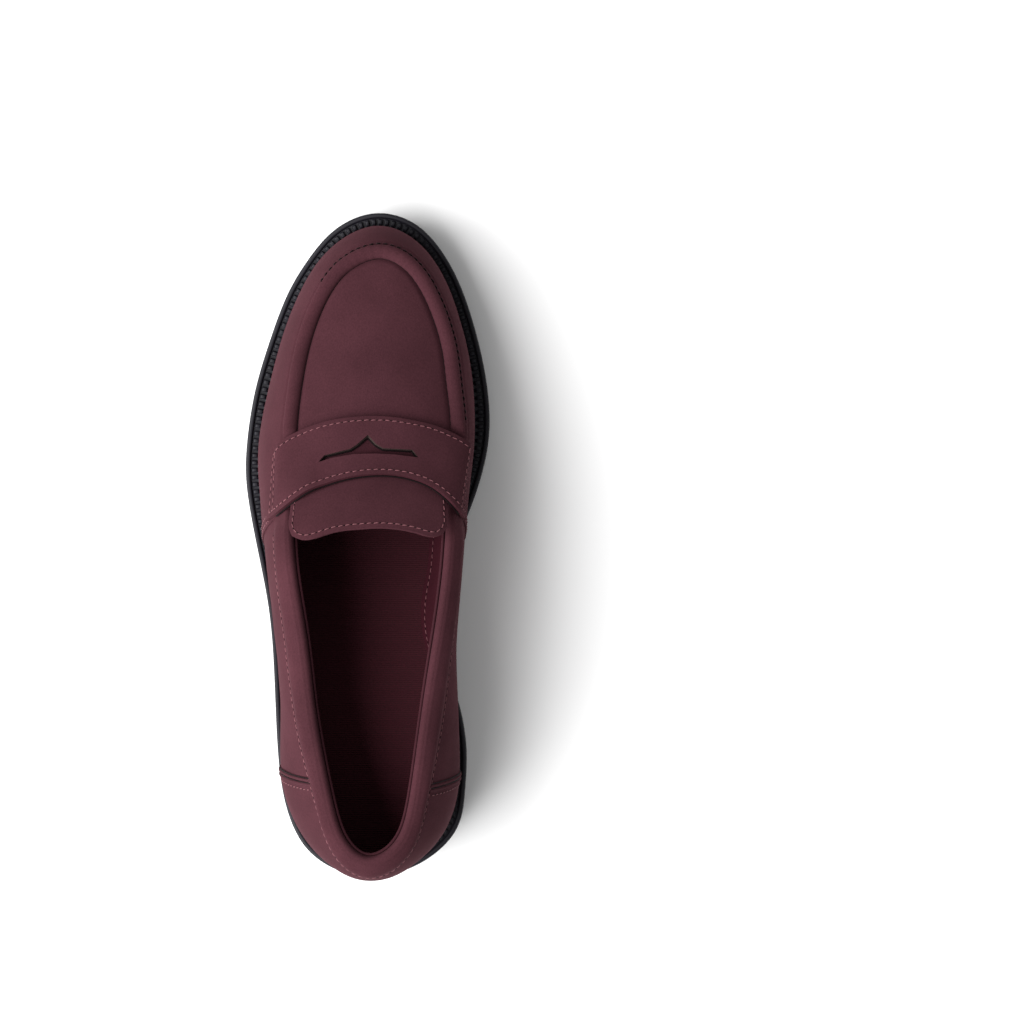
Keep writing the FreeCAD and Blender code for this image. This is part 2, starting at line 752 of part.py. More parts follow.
def apron():
    """Plug of the apron, its lining and the rolled bead that joins it to the wall."""
    path = []
    sides = []
    for t in steps(BEAD_START, BEAD_END, 41):
        point, out = inside_top(t, size("bead_half_width") + 0.25)
        path.append(Vec(point.x, point.y, instep_height(point.x, point.y) + 0.3))
        sides.append(out)
    part_feature("apron_bead", tube(path, sides, size("bead_half_width"), size("bead_half_height")))

    for name, distance, top, under in (("apron_plug", BEAD_WIDTH, 0.0, -LEATHER),
                                       ("apron_lining", BEAD_WIDTH, -LEATHER - GAP,
                                        -LEATHER - GAP - LINING)):
        rear_y = 33.0
        edge = [inside_top(t, distance)[0] for t in steps(BEAD_START - 0.02, BEAD_END + 0.02, 31)]
        left = Vec(edge[0].x + 1.0, rear_y, 0)
        right = Vec(edge[-1].x - 1.0, rear_y, 0)
        outline = [open_spline(edge), Part.makeLine(edge[-1], right), Part.makeLine(right, left),
                   Part.makeLine(left, edge[0])]
        blank = instep_blank((-34.0, 42.0), (24.0, 122.0), top, under)
        part_feature(name, blank.common(prism(outline, 20.0, 90.0)).Solids[0])


apron()

# Saddle strap: pairs of points on its front and rear edge over the instep, from the outer side in.
STRAP_COLUMNS = [
    ((-26.7, 42.3), (-22.5, 18.2)), ((-16.7, 46.4), (-15.5, 21.5)), ((-7.0, 48.6), (-6.5, 24.4)),
    ((2.3, 49.4), (3.0, 26.0)), ((12.0, 49.0), (12.0, 26.0)), ((20.8, 47.5), (20.0, 24.4)),
    ((29.5, 45.1), (28.5, 20.4)),
]
# Strap ends on the wall, from the sewn end up: front level and ring position, rear level and position.
STRAP_ENDS_LATERAL = [(0.900, 6.77, 0.710, 5.67), (0.925, 6.83, 0.785, 5.71),
                      (0.955, 6.88, 0.870, 5.75), (0.985, 6.93, 0.955, 5.79)]
STRAP_ENDS_MEDIAL = [(0.950, 17.20, 0.800, 18.33), (0.962, 17.19, 0.855, 18.31),
                     (0.974, 17.175, 0.915, 18.29), (0.988, 17.16, 0.965, 18.27)]
STRAP_ROWS = 7


def strap_grid(offset, inset=0.0, middle_only=False):
    def end_columns(ends):
        return [[wall_point(t, s, offset) for t, s in zip(steps(rear, front, STRAP_ROWS),
                                                          steps(rear_s, front_s, STRAP_ROWS))]
                for front_s, front, rear_s, rear in ends]
    columns = [] if middle_only else end_columns(STRAP_ENDS_LATERAL)
    for front, rear in STRAP_COLUMNS:
        columns.append([instep_point(x, y, offset)
                        for x, y in zip(steps(rear[0], front[0], STRAP_ROWS),
                                        steps(rear[1] + inset, front[1] - inset, STRAP_ROWS))])
    if not middle_only:
        columns += reversed(end_columns(STRAP_ENDS_MEDIAL))
    return columns


BACKING_UNDER = 0.5
BACKING_THICK = 0.8
STRAP_UNDER = BACKING_UNDER + BACKING_THICK + GAP

# Penny slot in the strap, clockwise from its outer end.
SLOT_EDGE = [
    (-16.7, 32.2), (-14.5, 34.8), (-4.4, 37.3), (-1.9, 38.9), (2.5, 42.8), (5.9, 39.2), (8.6, 37.6),
    (20.0, 37.0), (22.3, 34.0), (13.3, 35.1), (5.8, 35.5), (-2.9, 35.3), (-11.1, 33.9),
]


def saddle_strap():
    solid = slab(strap_grid(STRAP_UNDER + LEATHER), strap_grid(STRAP_UNDER))
    corners = [Vec(x, y, 0) for x, y in SLOT_EDGE]
    edges = [Part.makeLine(a, b) for a, b in zip(corners, corners[1:] + corners[:1])]
    part_feature("saddle_strap", solid.cut(prism(edges, 40.0, 100.0)).Solids[0])
    part_feature("strap_backing", slab(strap_grid(BACKING_UNDER + BACKING_THICK, 3.0, True),
                                       strap_grid(BACKING_UNDER, 3.0, True)))


saddle_strap()

TONGUE_REAR = [(-28.4, 13.6), (-28.2, 8.0), (-26.4, 3.2), (-22.5, 2.2), (-12.0, 4.6), (0.0, 6.5),
               (7.2, 6.9), (14.0, 6.6), (24.0, 4.6), (29.0, 3.2), (32.6, 4.6), (34.2, 9.0),
               (34.8, 13.6)]
TONGUE_THICK = 1.3
TONGUE_LINING = 0.6


def tongue():
    """Tongue in two pieces at its bend line: the base under the strap and the free flap."""
    bend_y = size("tongue_hinge_y")
    bend_gap = 0.4
    flap_edge = [Vec(x, y, 0) for x, y in TONGUE_REAR]
    flap = [open_spline(flap_edge), Part.makeLine(flap_edge[-1], Vec(34.8, bend_y - bend_gap, 0)),
            Part.makeLine(Vec(34.8, bend_y - bend_gap, 0), Vec(-28.4, bend_y - bend_gap, 0)),
            Part.makeLine(Vec(-28.4, bend_y - bend_gap, 0), flap_edge[0])]
    base_corners = [Vec(-25.6, bend_y, 0), Vec(-23.6, 22.0, 0), Vec(-23.6, 32.7, 0),
                    Vec(32.5, 32.7, 0), Vec(32.4, 22.0, 0), Vec(33.8, bend_y, 0)]
    base = [Part.makeLine(a, b) for a, b in zip(base_corners, base_corners[1:] + base_corners[:1])]
    for name, outline, top, under in (
            ("tongue_flap", flap, 0.0, -TONGUE_THICK),
            ("tongue_flap_lining", flap, -TONGUE_THICK - 0.1, -TONGUE_THICK - 0.1 - TONGUE_LINING),
            ("tongue_base", base, 0.0, -TONGUE_THICK)):
        blank = instep_blank((-33.0, 39.0), (-1.0, 36.0), top, under)
        part_feature(name, blank.common(prism(outline, 40.0, 110.0)).Solids[0])


tongue()

# ---------------------------------------------------------------- stitching


def stitch_group(name, seams):
    """One node of stitches; each seam is a rule and a count."""
    pieces = []
    for rule, count in seams:
        pieces += stitch_row(seam_places(rule, count))
    part_feature(name, Part.makeCompound(pieces))


def strap_row(front_share):
    """Rule along the strap at a share of its width, from the rear edge."""
    surface = skin(strap_grid(STRAP_UNDER + LEATHER))
    u0, u1, v0, v1 = surface.bounds()

    def rule(f):
        u = u0 + (u1 - u0) * (0.02 + 0.96 * f)
        v = v0 + (v1 - v0) * front_share
        normal = surface.normal(u, v)
        if normal.z < 0:
            normal = normal * -1
        return surface.value(u, v), normal
    return rule


def tongue_row(inset):
    points = [Vec(x * (1 - inset / 30.0) + 0.1, y + inset, 0) for x, y in TONGUE_REAR[1:-1]]
    curve = Part.BSplineCurve()
    curve.interpolate(Points=points)

    def rule(f):
        at = curve.FirstParameter + (curve.LastParameter - curve.FirstParameter) * f
        p = curve.value(at)
        normal = (instep_point(p.x, p.y, 1.0) - instep_point(p.x, p.y, 0.0)).normalize()
        return instep_point(p.x, p.y, 0.0), normal
    return rule


stitch_group("stitching_apron", [(wall_seam(BEAD_START, BEAD_END, 0.90), 62)])
stitch_group("stitching_strap", [(strap_row(0.05), 30), (strap_row(0.95), 30)])
stitch_group("stitching_tongue", [(tongue_row(1.6), 26)])
stitch_group("stitching_collar", [
    (wall_seam(2.34, 5.5, lambda t: collar_seam(t) - 0.035), 32),
    (wall_seam(18.5, 21.8, lambda t: collar_seam(t) - 0.035), 32),
    (wall_seam(-1.8, 1.8, lambda t: collar_seam(t % RIB_COUNT) - 0.035), 24)])
stitch_group("stitching_heel_panel", [
    (rib_seam(HEEL_SEAM_LATERAL - 0.13, 0.04, 0.68), 14),
    (rib_seam(HEEL_SEAM_MEDIAL + 0.13, 0.04, 0.68), 14)])
VAMP_EDGE_LIFT = 0.35
stitch_group("stitching_vamp", [
    (rib_seam(shifted(vamp_rear_lateral, 0.08), 0.04, 0.60, VAMP_EDGE_LIFT), 14),
    (rib_seam(shifted(vamp_rear_medial, -0.08), 0.04, 0.60, VAMP_EDGE_LIFT), 14)])

# ---------------------------------------------------------------- checks and export

doc.recompute()
for item in doc.Objects:
    for word in item.State:
        if word in ("Invalid", "Error"):
            raise RuntimeError("%s is %s" % (item.Name, word))

os.makedirs("parts", exist_ok=True)
for item in doc.Objects:
    if item.TypeId not in ("PartDesign::Body", "Part::Feature"):
        continue
    shape = item.Shape
    if shape.isNull() or not shape.isValid():
        raise RuntimeError("%s has a bad shape" % item.Label)
    shape.exportStep("parts/%s.step" % item.Label)
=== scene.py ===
import math

import bmesh
import bpy
import numpy as np
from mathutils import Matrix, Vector


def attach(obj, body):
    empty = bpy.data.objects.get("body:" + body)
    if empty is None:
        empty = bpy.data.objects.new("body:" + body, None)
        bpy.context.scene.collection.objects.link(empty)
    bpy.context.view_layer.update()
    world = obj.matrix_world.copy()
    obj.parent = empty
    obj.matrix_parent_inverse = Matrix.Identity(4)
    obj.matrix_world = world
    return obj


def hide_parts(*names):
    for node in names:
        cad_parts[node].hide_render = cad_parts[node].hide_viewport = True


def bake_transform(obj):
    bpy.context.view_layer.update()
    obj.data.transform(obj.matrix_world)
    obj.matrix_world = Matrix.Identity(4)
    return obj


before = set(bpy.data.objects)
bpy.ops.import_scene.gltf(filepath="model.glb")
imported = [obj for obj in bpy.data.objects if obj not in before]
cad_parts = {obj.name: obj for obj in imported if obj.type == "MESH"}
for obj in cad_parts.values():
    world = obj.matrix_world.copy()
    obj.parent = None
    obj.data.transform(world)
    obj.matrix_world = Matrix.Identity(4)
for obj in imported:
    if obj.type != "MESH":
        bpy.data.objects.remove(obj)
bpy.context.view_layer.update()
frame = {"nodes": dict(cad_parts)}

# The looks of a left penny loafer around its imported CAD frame. Shapes are worked out in millimetres,
# in the CAD frame (+Y toe, +X inner side of the foot, +Z up), and turned into metres when a mesh is made.

MM = 0.001
SHOE = "shoe"

# ---- shape of the last

SOLE_EDGE = np.array([
    (3.0, -133.8), (-12.2, -130.7), (-24.1, -121.9), (-31.3, -107.5), (-34.7, -89.5),
    (-36.3, -67.5), (-37.7, -44.5), (-40.3, -23.5), (-44.9, -1.5), (-48.7, 18.5),
    (-49.5, 36.5), (-46.3, 60.0), (-40.5, 80.5), (-32.9, 100.5), (-23.7, 115.7),
    (-12.7, 127.5), (3.3, 133.8), (19.9, 129.3), (31.7, 116.5), (39.5, 100.5),
    (45.5, 80.5), (49.1, 60.5), (48.9, 39.0), (42.6, 16.0), (35.5, -1.0),
    (30.9, -16.5), (29.7, -32.5), (31.9, -48.0), (37.2, -63.5), (40.5, -81.5),
    (40.0, -99.5), (36.0, -115.6), (21.5, -128.6),
])

# Ribs of the wall ring, clockwise from the heel: feather x, y; top x, y, z; swell low and high.
# A top height of nan lies on the instep surface.
ON_INSTEP = math.nan
RIBS = np.array([
    (3.0, -128.1, 4.0, -122.6, 87.5, 5.0, 12.0),
    (-20.6, -117.2, -7.9, -114.4, 86.5, 5.0, 10.2),
    (-30.8, -92.5, -14.2, -95.2, 82.5, 7.0, 10.4),
    (-31.2, -64.5, -19.9, -65.5, 77.0, 5.0, 12.0),
    (-33.5, -34.5, -23.7, -36.5, 75.0, 5.0, 12.0),
    (-37.9, -6.5, -28.3, -7.6, 75.0, 4.5, 10.0),
    (-42.3, 18.5, -29.8, 17.5, 65.5, 2.0, 10.0),
    (-43.1, 39.5, -31.6, 39.9, ON_INSTEP, 2.0, 9.0),
    (-39.8, 61.5, -30.4, 60.5, ON_INSTEP, 1.0, 7.0),
    (-34.5, 82.0, -26.6, 82.0, ON_INSTEP, 1.0, 5.5),
    (-27.6, 100.3, -19.4, 100.9, ON_INSTEP, 1.0, 4.5),
    (-15.3, 118.6, -9.2, 113.7, ON_INSTEP, 1.0, 4.5),
    (4.5, 128.2, 5.3, 119.6, ON_INSTEP, 1.0, 4.5),
    (23.2, 119.2, 18.6, 114.9, ON_INSTEP, 1.0, 4.5),
    (33.8, 101.0, 28.6, 101.9, ON_INSTEP, 1.0, 4.0),
    (39.6, 81.5, 36.1, 81.5, ON_INSTEP, 1.0, 4.5),
    (42.7, 61.5, 38.9, 62.5, ON_INSTEP, 1.0, 5.0),
    (41.8, 40.5, 40.4, 42.5, ON_INSTEP, 2.0, 5.0),
    (37.8, 18.5, 37.3, 18.5, 65.0, 4.5, 6.0),
    (31.5, -7.5, 35.4, -8.0, 74.5, 9.0, 7.0),
    (27.5, -34.5, 31.4, -36.5, 75.0, 12.0, 8.8),
    (31.6, -63.5, 27.0, -63.2, 77.0, 10.5, 11.0),
    (35.4, -91.5, 22.7, -94.5, 82.5, 7.0, 11.2),
    (28.2, -115.5, 17.0, -114.7, 86.5, 4.8, 10.6),
])
RIB_COUNT = len(RIBS)
LOW_HANDLE = 0.38
HIGH_HANDLE = 0.30

# Instep surface: y, ridge height, fall from ridge to edge, half width, middle x.
INSTEP = np.array([
    (-6.0, 88.0, 6.0, 30.0, 2.7),
    (6.5, 83.0, 6.0, 31.0, 2.9),
    (18.5, 75.3, 6.8, 33.0, 3.5),
    (28.5, 69.0, 8.5, 35.0, 4.0),
    (40.5, 64.0, 9.0, 36.1, 4.4),
    (58.5, 58.0, 9.0, 34.8, 4.1),
    (78.5, 51.5, 7.0, 31.0, 4.7),
    (98.5, 45.5, 4.5, 24.0, 5.0),
    (115.5, 40.5, 1.5, 18.0, 5.0),
    (128.0, 38.0, 0.6, 18.0, 5.0),
])
INSTEP_POWER = 2.2

BALL_HEIGHT, HEEL_RISE, TOE_RISE = 13.5, 18.5, 6.5
BALL_REAR_Y, BALL_FRONT_Y, HEEL_SEAT_Y, TOE_END_Y = 23.5, 68.5, -96.5, 133.8

UPPER_LIFT = 0.15
LEATHER = 1.4
LINING_DEPTH = 3.5
SOCK_TOP, SOCK_THICK, BED_THICK, BED_GLUE = 6.2, 1.0, 3.0, 0.15
SOCK_RIB_PITCH, SOCK_RIB_HIGH = 0.85, 0.07
LINING_GAP = 0.12

# Places on the wall ring, and laps as shares of the wall height.
SEAM_OUTER, SEAM_INNER = 2.12, RIB_COUNT - 2.0
VAMP_REAR_OUTER, REAR_SLANT = 5.08, 0.77
COLLAR_TUCK, COLLAR_LAP, COLLAR_HEM = 6.2, 0.03, 0.018
BEAD_START, BEAD_END = 7.20, 16.82
RIPPLE = 0.14
STITCH_RING, STITCH_STEPS = 8, 7


# ---- curves and surfaces

def unit(v):
    return v / np.maximum(np.linalg.norm(v, axis=-1, keepdims=True), 1e-12)


def ease(f):
    f = np.clip(f, 0.0, 1.0)
    return f * f * (3 - 2 * f)


def bump(distance, width):
    """Smooth hill of height 1 and the given half width."""
    f = np.clip(np.abs(distance) / width, 0.0, 1.0)
    return (1 - f * f) ** 2


def hermite(f, start, end, slope, end_slope):
    """Smooth step between two values with given slopes, at share f of the way."""
    r = 1 - f
    return (start * r * r * (1 + 2 * f) + slope * f * r * r
            + end * f * f * (3 - 2 * f) - end_slope * f * f * r)


def periodic(knots):
    """Smooth closed curve through rows of values placed at 0, 1, 2 ... round a ring."""
    count = len(knots)
    ring = 4.0 * np.eye(count) + np.roll(np.eye(count), 1, 0) + np.roll(np.eye(count), -1, 0)
    slopes = np.linalg.solve(ring, 3.0 * (np.roll(knots, -1, 0) - np.roll(knots, 1, 0)))

    def at(t):
        t = np.mod(t, count)
        i = np.floor(t).astype(int) % count
        j = (i + 1) % count
        return hermite((t - np.floor(t))[..., None], knots[i], knots[j], slopes[i], slopes[j])
    return at


def spline(stations, values):
    """Natural cubic spline through rows of values at rising stations; works on whole arrays."""
    n = len(stations)
    shape = values.shape[1:]
    y = values.reshape(n, -1)
    gaps = np.diff(stations)
    system = np.eye(n)
    right = np.zeros_like(y)
    for i in range(1, n - 1):
        system[i, i - 1:i + 2] = gaps[i - 1], 2 * (gaps[i - 1] + gaps[i]), gaps[i]
        right[i] = 6 * ((y[i + 1] - y[i]) / gaps[i] - (y[i] - y[i - 1]) / gaps[i - 1])
    bend = np.linalg.solve(system, right)

    def at(q):
        i = np.clip(np.searchsorted(stations, q) - 1, 0, n - 2)
        g = gaps[i][..., None]
        a = (stations[i + 1] - q)[..., None] / g
        b = (q - stations[i])[..., None] / g
        found = (a * y[i] + b * y[i + 1]
                 + ((a ** 3 - a) * bend[i] + (b ** 3 - b) * bend[i + 1]) * g * g / 6)
        return found.reshape(q.shape + shape)
    return at


def station(column):
    """Smooth value of one instep column along y."""
    x, y = INSTEP[:, 0], INSTEP[:, column]
    slopes = np.empty(len(x))
    slopes[1:-1] = (y[2:] - y[:-2]) / (x[2:] - x[:-2])
    slopes[0] = (y[1] - y[0]) / (x[1] - x[0])
    slopes[-1] = (y[-1] - y[-2]) / (x[-1] - x[-2])

    def at(q):
        q = np.clip(q, x[0], x[-1])
        i = np.clip(np.searchsorted(x, q) - 1, 0, len(x) - 2)
        span = x[i + 1] - x[i]
        return hermite((q - x[i]) / span, y[i], y[i + 1], slopes[i] * span, slopes[i + 1] * span)
    return at


RIDGE, FALL, HALF, MIDDLE = (station(column) for column in (1, 2, 3, 4))


def walked(points):
    """Distance along a line of points, at each of them."""
    return np.concatenate([[0.0], np.cumsum(np.linalg.norm(np.diff(points, axis=0), axis=1))])


def along_line(at, walk, points):
    """Points at given distances along a line."""
    return np.stack([np.interp(at, walk, column) for column in points.T], -1)


def even(points, count):
    """Smooth curve through points, resampled at even steps."""
    points = np.asarray(points)
    run = walked(points)
    dense = spline(run, points)(np.linspace(0, run[-1], 600))
    walk = walked(dense)
    return along_line(np.linspace(0, walk[-1], count), walk, dense)


def raised(plan, height):
    """Plan points with their heights."""
    return np.concatenate([plan, np.broadcast_to(height, plan.shape[:-1])[..., None]], -1)


def feather_height(y):
    """Height of the feather line, where the upper meets the sole."""
    heel = (BALL_REAR_Y - y) / (BALL_REAR_Y - HEEL_SEAT_Y)
    toe = np.maximum((y - BALL_FRONT_Y) / (TOE_END_Y - BALL_FRONT_Y), 0.0)
    return BALL_HEIGHT + HEEL_RISE * ease(heel) + TOE_RISE * toe * toe


def bed_height(y):
    """Height of the sock liner's top, without its dish."""
    return feather_height(y) + UPPER_LIFT + SOCK_TOP


def instep_height(x, y):
    across = np.abs(x - MIDDLE(y)) / HALF(y)
    return RIDGE(y) - FALL(y) * across ** INSTEP_POWER


def instep_normal(plan):
    step = 0.5
    x, y = plan[..., 0], plan[..., 1]
    slope_x = (instep_height(x + step, y) - instep_height(x - step, y)) / (2 * step)
    slope_y = (instep_height(x, y + step) - instep_height(x, y - step)) / (2 * step)
    return unit(np.stack([-slope_x, -slope_y, np.ones_like(slope_x)], -1))


def instep_point(plan, offset=0.0):
    """Points at a height above the instep surface, over plan points."""
    foot = raised(plan, instep_height(plan[..., 0], plan[..., 1]))
    return foot + instep_normal(plan) * np.asarray(offset)[..., None]


FOOT_XY = periodic(RIBS[:, 0:2])
TOP_XYZ = periodic(raised(RIBS[:, 2:4], np.where(np.isnan(RIBS[:, 4]),
                                                 instep_height(RIBS[:, 2], RIBS[:, 3]), RIBS[:, 4])))
SWELL = periodic(RIBS[:, 5:7])


def outward(t):
    along = FOOT_XY(t + 0.02) - FOOT_XY(t - 0.02)
    return unit(np.stack([-along[..., 1], along[..., 0], np.zeros_like(along[..., 0])], -1))


def wall_surface(t, s):
    """Points of the wall: t runs round the ring of ribs, s from the feather line to the top."""
    t, s = np.broadcast_arrays(np.asarray(t, float), np.asarray(s, float))
    plan = FOOT_XY(t)
    foot = raised(plan, feather_height(plan[..., 1]) + UPPER_LIFT)
    top = TOP_XYZ(t)
    swell = SWELL(t)
    out = outward(t)
    tall = (top - foot) * np.array([0.0, 0.0, 1.0])
    low = foot + out * swell[..., :1] + LOW_HANDLE * tall
    high = top + out * swell[..., 1:] - HIGH_HANDLE * tall
    s = s[..., None]
    r = 1 - s
    return foot * r ** 3 + low * (3 * s * r * r) + high * (3 * s * s * r) + top * s ** 3


def wall_normal(t, s):
    step = 0.01
    along = wall_surface(t + step, s) - wall_surface(t - step, s)
    up = wall_surface(t, np.minimum(s + step, 1.0)) - wall_surface(t, np.maximum(s - step, 0.0))
    return unit(np.cross(up, along))


def wall_point(t, s, offset=0.0):
    return wall_surface(t, s) + wall_normal(t, s) * np.asarray(offset)[..., None]


def vamp_rear_lateral(s):
    return VAMP_REAR_OUTER + REAR_SLANT * s


def vamp_rear_medial(s):
    return RIB_COUNT - vamp_rear_lateral(s)


def fixed(value):
    return lambda s: np.full_like(s, value)


def signed(t):
    """Ring position measured from the heel, negative on the inner side."""
    ring = np.mod(t, RIB_COUNT)
    return np.where(ring > RIB_COUNT / 2, ring - RIB_COUNT, ring)


def collar_seam(t):
    """Height of the collar's lower seam: it climbs beside the heel and dips at the back."""
    ring = signed(t)
    climb = 0.09 * np.exp(-(np.abs(ring) - 1.6) ** 2)
    return 0.80 + climb - 0.03 * np.exp(-(ring / 0.45) ** 2)


def below_collar(t):
    """Top edge of a panel that is tucked under the collar."""
    return collar_seam(t) + COLLAR_LAP


def waves(p, size, seed):
    """Smooth, repeatable ripple of about -1 to 1 over points in space."""
    rng = np.random.RandomState(seed)
    total = np.zeros(p.shape[:-1])
    weight = 1.0
    for _ in range(3):
        for _ in range(4):
            direction = rng.normal(size=3)
            direction /= np.linalg.norm(direction)
            total += weight * np.sin(p @ direction * 2 * math.pi / size + rng.uniform(0, 6.28)) / 4
        size *= 0.55
        weight *= 0.5
    return total


def ripple(t, s, seed):
    """Faint unevenness of the leather."""
    return RIPPLE * waves(wall_surface(t, s), 26.0, seed)


def wall_net(start, end, low, high, across, up):
    """Ring positions and heights of a panel whose ends may slant and whose top may wander."""
    u = np.linspace(0.0, 1.0, across)[:, None]
    v = np.linspace(0.0, 1.0, up)[None, :]
    s = np.broadcast_to(low + v * 0.8, (across, up))
    for _ in range(4):
        t = start(s) + (end(s) - start(s)) * u
        s = low + (high(t) - low) * v
    return t, s


# ---- mesh making

def grid_faces(rows, cols, start=0, flip=False, wrap=False):
    faces = []
    for i in range(rows if wrap else rows - 1):
        k = (i + 1) % rows
        for j in range(cols - 1):
            quad = (start + i * cols + j, start + k * cols + j,
                    start + k * cols + j + 1, start + i * cols + j + 1)
            faces.append(quad[::-1] if flip else quad)
    return faces


def tube_faces(rows, around, start=0):
    """Faces of a tube of rings, with a cap at each end."""
    faces = []
    last = start + (rows - 1) * around
    for ring in range(start, last, around):
        for j in range(around):
            n = (j + 1) % around
            faces.append((ring + j, ring + around + j, ring + around + n, ring + n))
    faces.append(tuple(range(start, start + around)))
    faces.append(tuple(range(last + around - 1, last - 1, -1)))
    return faces


def make_object(name, points, faces, *materials, second=()):
    """Mesh object with smooth faces turned outwards; faces in second take the second material."""
    mesh = bpy.data.meshes.new(name)
    mesh.from_pydata((np.asarray(points).reshape(-1, 3) * MM).tolist(), [], faces)
    mesh.validate()
    mesh.polygons.foreach_set("use_smooth", [True] * len(mesh.polygons))
    for material in materials:
        mesh.materials.append(material)
    for face in second:
        mesh.polygons[face].material_index = 1
    turned = bmesh.new()
    turned.from_mesh(mesh)
    bmesh.ops.recalc_face_normals(turned, faces=turned.faces)
    turned.to_mesh(mesh)
    turned.free()
    obj = bpy.data.objects.new(name, mesh)
    bpy.context.scene.collection.objects.link(obj)
    return obj


def slab_object(name, outer, inner, material, round_edge=0.3, edge=None):
    """Closed leather-like sheet between two grids, with rounded cut edges; an edge material, if given,
    paints the cut edges darker as shade.
    """
    rows, cols = outer.shape[:2]
    count = rows * cols
    faces = grid_faces(rows, cols) + grid_faces(rows, cols, count, flip=True)
    sheet_faces = len(faces)
    for j in range(cols - 1):
        a, b = j, (rows - 1) * cols + j
        faces.append((a, a + 1, count + a + 1, count + a))
        faces.append((b + 1, b, count + b, count + b + 1))
    for i in range(rows - 1):
        a, b = i * cols, i * cols + cols - 1
        faces.append((a + cols, a, count + a, count + a + cols))
        faces.append((b, b + cols, count + b + cols, count + b))
    materials = (material, edge) if edge else (material,)
    cut_faces = range(sheet_faces, len(faces)) if edge else ()
    obj = make_object(name, np.stack([outer, inner]), faces, *materials, second=cut_faces)
    if round_edge:
        add_bevel(obj, round_edge, 50)
        bake(obj)
    return obj


def bake(obj):
    """Replace an object's mesh by the result of its modifiers."""
    graph = bpy.context.evaluated_depsgraph_get()
    graph.update()
    done = bpy.data.meshes.new_from_object(obj.evaluated_get(graph))
    obj.modifiers.clear()
    obj.data = done
    done.polygons.foreach_set("use_smooth", [True] * len(done.polygons))


def add_bevel(obj, width, angle):
    mod = obj.modifiers.new("edge", "BEVEL")
    mod.width = width * MM
    mod.segments = 3
    mod.limit_method = "ANGLE"
    mod.angle_limit = math.radians(angle)


def rings_round(centre, side, up, wide, high, around):
    """Oval rings round the points of a line."""
    angle = np.linspace(0, 2 * math.pi, around, endpoint=False)[None, :, None]
    return centre[:, None] + side[:, None] * wide * np.cos(angle) + up[:, None] * high * np.sin(angle)


def tube_object(name, path, side, half_wide, half_high, material, around=8):
    """Oval tube along a path; half sizes may change along it."""
    along = unit(np.gradient(path, axis=0))
    level = unit(side - along * np.sum(side * along, -1, keepdims=True))
    up = np.cross(level, along)
    up *= np.where(up[:, 2:] < 0, -1.0, 1.0)
    wide, high = (np.broadcast_to(half, len(path))[:, None, None] for half in (half_wide, half_high))
    rings = rings_round(path, level, up, wide, high, around)
    return make_object(name, rings, tube_faces(len(path), around), material)


def stitch_shapes(points, normals, pitch, length, radius, sink, phase):
    """Vertices and faces of thread stitches laid along a line of points on a surface."""
    rng = np.random.RandomState(len(points))
    run = walked(points)
    count = max(1, int(run[-1] / pitch))
    real_pitch = run[-1] / count
    share = np.linspace(-1, 1, STITCH_STEPS)
    arch = np.sqrt(1 - share ** 2)
    thick = radius * (0.35 + 0.65 * arch)[:, None, None]
    vertices, faces = [], []
    for k in range(count):
        at = (k + phase) * real_pitch + 0.5 * share * length * rng.uniform(0.88, 1.06)
        centre = along_line(at, run, points)
        normal = unit(along_line(at, run, normals))
        across = unit(np.cross(normal, unit(np.gradient(centre, axis=0))))
        slant = share * rng.uniform(0.02, 0.14) + rng.uniform(-0.06, 0.06)
        centre = centre + across * slant[:, None]
        centre = centre + normal * (radius * (1.1 * arch - 0.75) - sink)[:, None]
        along = unit(np.gradient(centre, axis=0))
        side = unit(np.cross(normal, along))
        over = np.cross(along, side)
        faces += tube_faces(STITCH_STEPS, STITCH_RING, k * STITCH_STEPS * STITCH_RING)
        vertices.append(rings_round(centre, side, over, thick, thick, STITCH_RING).reshape(-1, 3))
    return np.concatenate(vertices), faces


def stitches(name, lines, material, pitch=2.75, length=2.05, radius=0.19, holes=True):
    """One object of stitches along several lines, with needle holes between them painted dark as shade.
    """
    points, faces, dark = [], [], []
    total = 0
    for line in lines:
        laid = [stitch_shapes(*line, pitch, length, radius, 0.0, 0.5)]
        if holes:
            laid.append(stitch_shapes(*line, pitch, pitch - 0.8 * length,
                                      0.85 * radius, 0.4 * radius, 1.0))
        for kind, (v, f) in enumerate(laid):
            dark += range(len(faces), len(faces) + kind * len(f))
            faces += [tuple(i + total for i in face) for face in f]
            total += len(v)
            points.append(v)
    return make_object(name, np.concatenate(points), faces, material, MAT_PAINTED_SHADE, second=dark)


def finish_piece(obj, *nodes, slot="nubuck"):
    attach(obj, SHOE)
    if nodes:
        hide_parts(*nodes)


def gap_line(name, path, side, half_wide, half_high, material):
    """Thin dark tube where a gap between two pieces lies in shade."""
    finish_piece(tube_object(name, path, side, half_wide, half_high, material), slot="thread")


def sew(name, lines, *nodes):
    """Stitches of the shoe's pale thread."""
    finish_piece(stitches(name, lines, MAT_THREAD), *nodes, slot="thread")


# ---- materials

